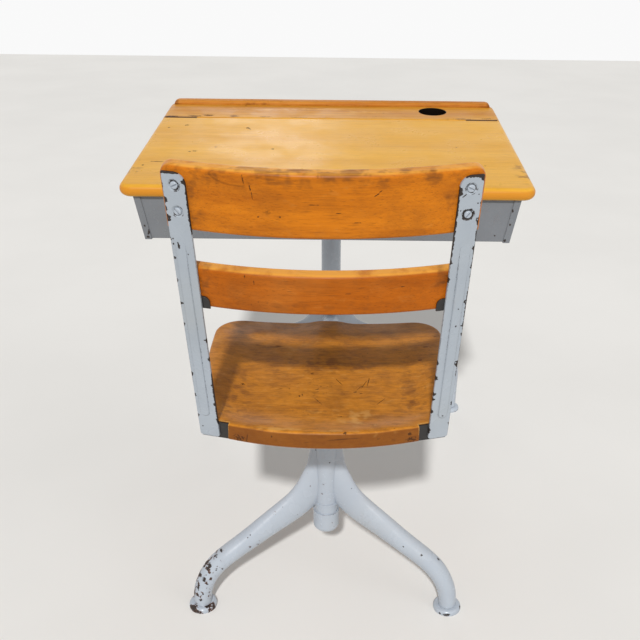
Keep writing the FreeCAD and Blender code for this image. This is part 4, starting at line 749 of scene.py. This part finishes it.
# Painted shade on the lower slat: darker ends beside the uprights and a darker bottom edge
LOW_SLAT_PAINTED_SHADE = [(-146, -378, 636, 15, 34, 34), (146, -378, 636, 13, 34, 34), (0, -392, 600, 150, 14, 5)]
SEAT_MARKS = [
    (64, -203, 397, 0.8, 15, 4, (0, 0, -8)), (57, -212, 397, 0.7, 11, 4, (0, 0, -20)),
    (50, -222, 397, 0.6, 10, 4, (0, 0, -30)), (20, -204, 397, 0.7, 9, 4, (0, 0, 28)),
    (-38, -247, 397, 1.6, 2.6, 4), (-34, -243, 397, 0.9, 3.4, 4, (0, 0, 20)),
    (-124, -215, 398, 2.6, 2.2, 4), (44, -234, 397, 3.4, 1.4, 4, (0, 0, 24)),
    (52, -238, 397, 2.2, 1.2, 4), (-10, -262, 397, 0.6, 10, 4, (0, 0, 32)),
    (80, -262, 397, 0.6, 12, 4, (0, 0, -36)), (22, -305, 397, 5.0, 0.9, 4, (0, 0, 12)),
    (29, -361, 406, 2.4, 2.0, 2.0), (118, -347, 397, 3.0, 3.0, 2.6), (-70, -361, 398, 1.0, 5, 2.2),
    (-120, -352, 387, 13, 7, 7), (124, -351, 387, 11, 7, 7),
]
SEAT_STAINS = [
    (-140, -338, 394, 24, 14, 16), (140, -338, 394, 24, 14, 16), (-22, -290, 397, 26, 8, 10),
    (-128, -250, 399, 20, 70, 16), (126, -250, 399, 20, 70, 16), (0, -150, 398, 90, 26, 14),
]
SEAT_WORN = [
    (43, -322, 400, 17, 16, 10), (34, -289, 397, 26, 5, 8), (62, -330, 401, 10, 10, 8),
    (20, -300, 398, 12, 5, 8), (46, -308, 399, 26, 24, 10), (-60, -352, 405, 40, 4, 5),
    (40, -356, 405, 60, 4, 5),
]


# Finishes on the model's pieces

def dress_paint():
    base = painted("paint_base", softness=TUBE_SOFTNESS, heavy=FOOT_WEAR, marks=FOOT_DOTS, calm=CALM_HUBS)
    dress(base, "rear_sleeve", "rear_sleeve_cap", "swivel_collar", "stretcher_tube", "front_column",
          "column_plug", "desk_bracket", "bracket_bolts", "bracket_nuts", "seat_spider",
          *both("front_leg"), *both("rear_foot"), *both("front_foot"))
    for side, wear, dots in (("left", LEFT_LEG_WEAR, LEFT_LEG_DOTS), ("right", (), RIGHT_LEG_DOTS)):
        leg = painted(f"paint_leg_{side}", softness=TUBE_SOFTNESS, heavy=wear, marks=dots, calm=CALM_HUBS)
        dress(leg, f"rear_leg_{side}")
    # The book box's darker colours are painted shade
    box = painted("box_enamel_painted_shade", (PAINTED_SHADE_BOX_COLOUR, PAINTED_SHADE_BOX_DRIFT, PAINTED_SHADE_BOX_YELLOWED), edge_radius=0.0015,
                  edge_push=0.22, chip_level=0.82, marks=BOX_CHIPS)
    dress(box, "book_box_pan", *both("end_panel"))
    # The uprights' darker colours are painted shade
    painted_shade_upright_colours = (PAINTED_SHADE_UPRIGHT_COLOUR, PAINTED_SHADE_UPRIGHT_DRIFT, PAINTED_SHADE_UPRIGHT_YELLOWED)
    for side, wear, dots in (("right", RIGHT_WEAR, RIGHT_DOTS), ("left", LEFT_WEAR, LEFT_DOTS)):
        upright = painted(f"paint_upright_{side}", painted_shade_upright_colours, edge_radius=0.002, chip_level=0.84,
                          marks=dots, upright=wear)
        dress(upright, f"upright_{side}")
    fittings = painted("paint_fittings", edge_radius=0.0012, chip_level=0.78, edge_push=0.24)
    dress(fittings, "slat_screws")
    dress(black_painted("enamel_black"), *both("seat_angle"), *both("slat_clip"), "clip_rivets")


def dress_desk_top():
    # The lid's darker sides are painted shade
    lid = wooden("wood_lid", LID_LIGHT, LID_DARK, 0.0, contrast=(0.36, 0.86), gloss=(0.27, 0.40),
                 specular=0.12, blotch=0.05, pale=0.12, grime=0.2, nicks=0.985, scratch=0.2, dark_edges=0.35,
                 painted_side_shade=PAINTED_SHADE_LID_SIDES, underside=LID_UNDERSIDE, marks=LID_DENTS, stain_and_painted_shade=LID_STAINS)
    dress(lid, "lid")
    # The inkwell hole in the strip is painted shade
    strip = wooden("wood_strip", STRIP_LIGHT, STRIP_DARK, 3.1, specular=0.12, pale=0.3, grime=0.8,
                   dark_edges=0.7, marks=STRIP_MARKS, stain_and_painted_shade=STRIP_SMUDGES, worn_spots=STRIP_WORN,
                   painted_shade_spots=INKWELL_PAINTED_SHADE)
    dress(strip, "rear_strip")
    rail = wooden("wood_rail", RAIL_LIGHT, RAIL_DARK, 5.7, gloss=(0.42, 0.58), specular=0.08, pale=0.1,
                  dark_edges=0.5, stain_and_painted_shade=RAIL_STAINS)
    dress(rail, "back_rail")


def dress_seat_and_back():
    # The slats' paler tops are painted light
    top_slat = wooden("wood_top_slat", TOP_SLAT_LIGHT, TOP_SLAT_DARK, 8.3, band=(2.0, 46.0, 46.0),
                      contrast=(0.32, 0.98), gloss=(0.28, 0.42), specular=0.12, mottle=0.25, pale=0.1,
                      pore=0.42, nicks=0.975, scratch=0.3, dark_edges=0.5, painted_top_light=PAINTED_LIGHT_SLAT_TOPS,
                      marks=TOP_SLAT_MARKS, stain_and_painted_shade=TOP_SLAT_STAIN_AND_PAINTED_SHADE)
    dress(top_slat, "top_slat")
    # Both slats' darker ends beside the uprights, and the lower slat's darker bottom, are painted shade
    low_slat = wooden("wood_low_slat", LOW_SLAT_LIGHT, LOW_SLAT_DARK, 11.9, band=(1.8, 46.0, 46.0),
                      contrast=(0.30, 0.96), gloss=(0.30, 0.44), specular=0.1, mottle=0.25, pale=0.08,
                      pore=0.42, nicks=0.985, scratch=0.2, dark_edges=0.4, painted_top_light=PAINTED_LIGHT_SLAT_TOPS,
                      marks=LOW_SLAT_MARKS, stain_and_painted_shade=LOW_SLAT_PAINTED_SHADE)
    dress(low_slat, "lower_slat")
    # The seat's darker sides are painted shade
    seat = wooden("wood_seat", SEAT_LIGHT, SEAT_DARK, 14.2, band=(10.0, 24.0, 24.0), contrast=(0.30, 1.0),
                  gloss=(0.34, 0.50), mottle=0.4, blotch=0.42, pale=0.25, pore=0.4, grime=0.9, scratch=0.7,
                  edge_radius=0.003, dark_edges=0.6, worn_edges=1.0, painted_side_shade=PAINTED_SHADE_SEAT_SIDES, marks=SEAT_MARKS,
                  stain_and_painted_shade=SEAT_STAINS, worn_spots=SEAT_WORN)
    dress(seat, "seat")


def dress_metal():
    # The hinges' dark colour is partly painted shade
    hinges = metal("hinge_metal_painted_shade", HINGE_TARNISH_AND_PAINTED_SHADE, 0.45, metallic=0.8, tarnish=0.8)
    dress(hinges, "strip_hinge_screws", "lid_hinge_screws", *both("strip_hinge_leaf"), *both("hinge_pin"),
          *both("lid_hinge_leaf"))
    steel = metal("steel_plain", STEEL, 0.35)
    dress(steel, "seat_spindle", "spindle_washer", "spindle_nut", "thrust_washer", "seat_screws",
          "strip_screws")
    dress(metal("metal_bush", BRONZE, 0.35), "lower_bush", "upper_bush")


dress_paint()
dress_desk_top()
dress_seat_and_back()
dress_metal()


# Welds between the legs and the posts

def surface_of(name):
    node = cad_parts[name]
    corners = [node.matrix_world @ vertex.co for vertex in node.data.vertices]
    return BVHTree.FromPolygons(corners, [face.vertices for face in node.data.polygons])


def seam_points(leg, axis_y, heading, middle_z, turns):
    """Points and leg normals where a leg meets its post, going round the leg's root.

    For each turn, a path on the post's surface runs in towards the leg until it meets the leg.
    """
    found = []
    for turn in turns:
        around, upward = math.cos(turn), math.sin(turn)
        previous = None
        for count in range(int(SEAM_REACH / SEAM_STEP)):
            run = SEAM_REACH - count * SEAM_STEP
            angle = heading + around * run / POST_RADIUS
            x, y = POST_RADIUS * math.cos(angle), axis_y + POST_RADIUS * math.sin(angle)
            here = Vector((x, y, middle_z + upward * run))
            if previous is not None:
                way = here - previous
                hit, normal, _, _ = leg.ray_cast(previous, way.normalized(), way.length)
                if hit is not None:
                    found.append((hit, normal))
                    break
            previous = here
    return found


def bead_section(leg, axis_y, point, leg_normal):
    """Outline of the bead at one point of the seam: a hollow curve from post to leg, and its hidden back."""
    centre = Vector((0, axis_y, point.z))
    post_normal = (point - centre).normalized()
    along_post = (leg_normal - post_normal * leg_normal.dot(post_normal)).normalized()
    along_leg = (post_normal - leg_normal * leg_normal.dot(post_normal)).normalized()
    on_post = point + along_post * BEAD_WIDTH
    out = (on_post - Vector((0, axis_y, on_post.z))).normalized()
    on_post = Vector((0, axis_y, on_post.z)) + out * (POST_RADIUS - BEAD_SINK)
    near, near_normal, _, _ = leg.find_nearest(point + along_leg * BEAD_WIDTH)
    on_leg = near - near_normal * BEAD_SINK
    outline = []
    for i in range(BEAD_STEPS + 1):
        t = i / BEAD_STEPS
        outline.append(on_post * (1 - t) ** 2 + point * 2 * t * (1 - t) + on_leg * t ** 2)
    outline.append(point - (post_normal + leg_normal).normalized() * BEAD_BACK)
    return outline


def bead_mesh(name, sections):
    """Skin over the sections, closed at both ends, with sharp borders where it meets leg and post."""
    mesh = bmesh.new()
    rows = [[mesh.verts.new(place) for place in outline] for outline in sections]
    size = len(rows[0])
    for first, second in zip(rows, rows[1:]):
        for i in range(size):
            j = (i + 1) % size
            mesh.faces.new((first[i], first[j], second[j], second[i]))
        for i in (0, size - 2):
            mesh.edges.get((first[i], second[i])).smooth = False
    mesh.faces.new(list(reversed(rows[0])))
    mesh.faces.new(rows[-1])
    bmesh.ops.recalc_face_normals(mesh, faces=mesh.faces)
    data = bpy.data.meshes.new(name)
    mesh.to_mesh(data)
    mesh.free()
    for face in data.polygons:
        face.use_smooth = len(face.vertices) == 4
    return data


def weld(name, leg_name, finish, axis_y, heading_deg, middle_z, top_z):
    """Filled corner between a leg and its post: a concave bead along their seam."""
    leg = surface_of(leg_name)
    start = 90 + SEAM_OPENING_DEG
    sweep = 360 - 2 * SEAM_OPENING_DEG
    turns = [math.radians(start + sweep * i / SEAM_SECTIONS) for i in range(SEAM_SECTIONS + 1)]
    seam = seam_points(leg, axis_y, math.radians(heading_deg), middle_z, turns)
    sections = [bead_section(leg, axis_y, point, normal) for point, normal in seam if point.z <= top_z]
    data = bead_mesh(name, sections)
    data.materials.append(finish.material)
    piece = bpy.data.objects.new(name, data)
    bpy.context.scene.collection.objects.link(piece)
    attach(piece, "base")


def place_welds():
    finish = painted("paint_weld", edge_radius=0.0002, edge_push=0.0, softness=WELD_SOFTNESS)
    for end, (axis_y, heading, middle_z, top_z) in SEAMS.items():
        for side, leg_heading in (("right", heading), ("left", 180 - heading)):
            weld(f"weld_{end}_{side}", f"{end}_leg_{side}", finish, axis_y, leg_heading, middle_z, top_z)


place_welds()


# Floor, light and world

def place_stage():
    floor_mesh = bpy.data.meshes.new("floor")
    reach = FLOOR_REACH
    corners = [(-reach, -reach, 0), (reach, -reach, 0), (reach, reach, 0), (-reach, reach, 0)]
    floor_mesh.from_pydata(corners, [], [(0, 1, 2, 3)])
    floor = bpy.data.objects.new("floor", floor_mesh)
    bpy.context.scene.collection.objects.link(floor)
    finish = Shader("floor")
    tint = finish.mix(finish.patches(FLOOR_DRIFT, *USUAL_NOISE), linear(FLOOR_LIGHT), linear(FLOOR_DARK))
    finish.finish(base_color=tint, roughness=0.8, specular_ior_level=0.2)
    floor_mesh.materials.append(finish.material)


def place_lamp(name, place, target, size, power):
    data = bpy.data.lights.new(name, "AREA")
    data.shape = "DISK"
    data.size = size
    data.energy = power
    lamp = bpy.data.objects.new(name, data)
    lamp.location = place
    lamp.rotation_euler = (Vector(target) - Vector(place)).to_track_quat("-Z", "Y").to_euler()
    lamp.visible_camera = False
    bpy.context.scene.collection.objects.link(lamp)


def place_sun():
    data = bpy.data.lights.new("key", "SUN")
    data.energy = SUN_STRENGTH
    data.angle = math.radians(SUN_ANGLE_DEG)
    lamp = bpy.data.objects.new("key", data)
    lamp.rotation_euler = (-Vector(SUN_SOURCE)).to_track_quat("-Z", "Y").to_euler()
    bpy.context.scene.collection.objects.link(lamp)


def light_world():
    """White world, at one level for the object's light and at another for what camera and gloss see."""
    world = bpy.data.worlds.new("world")
    bpy.context.scene.world = world
    world.use_nodes = True
    tree = world.node_tree
    background = tree.nodes["Background"]
    background.inputs["Color"].default_value = (1, 1, 1, 1)
    rays = tree.nodes.new("ShaderNodeLightPath")
    seen = rays.outputs["Is Camera Ray"]
    for kind in ("Is Glossy Ray", "Is Transmission Ray"):
        either = tree.nodes.new("ShaderNodeMath")
        either.operation = "MAXIMUM"
        tree.links.new(seen, either.inputs[0])
        tree.links.new(rays.outputs[kind], either.inputs[1])
        seen = either.outputs[0]
    level = tree.nodes.new("ShaderNodeMapRange")
    tree.links.new(seen, level.inputs["Value"])
    level.inputs["To Min"].default_value = WORLD_LEVEL
    level.inputs["To Max"].default_value = BACKGROUND_LEVEL
    tree.links.new(level.outputs["Result"], background.inputs["Strength"])


place_stage()
place_sun()
place_lamp("fill", **FILL_LAMP)
place_lamp("back", **BACK_LAMP)
light_world()
bpy.context.scene.view_settings.view_transform = "Standard"
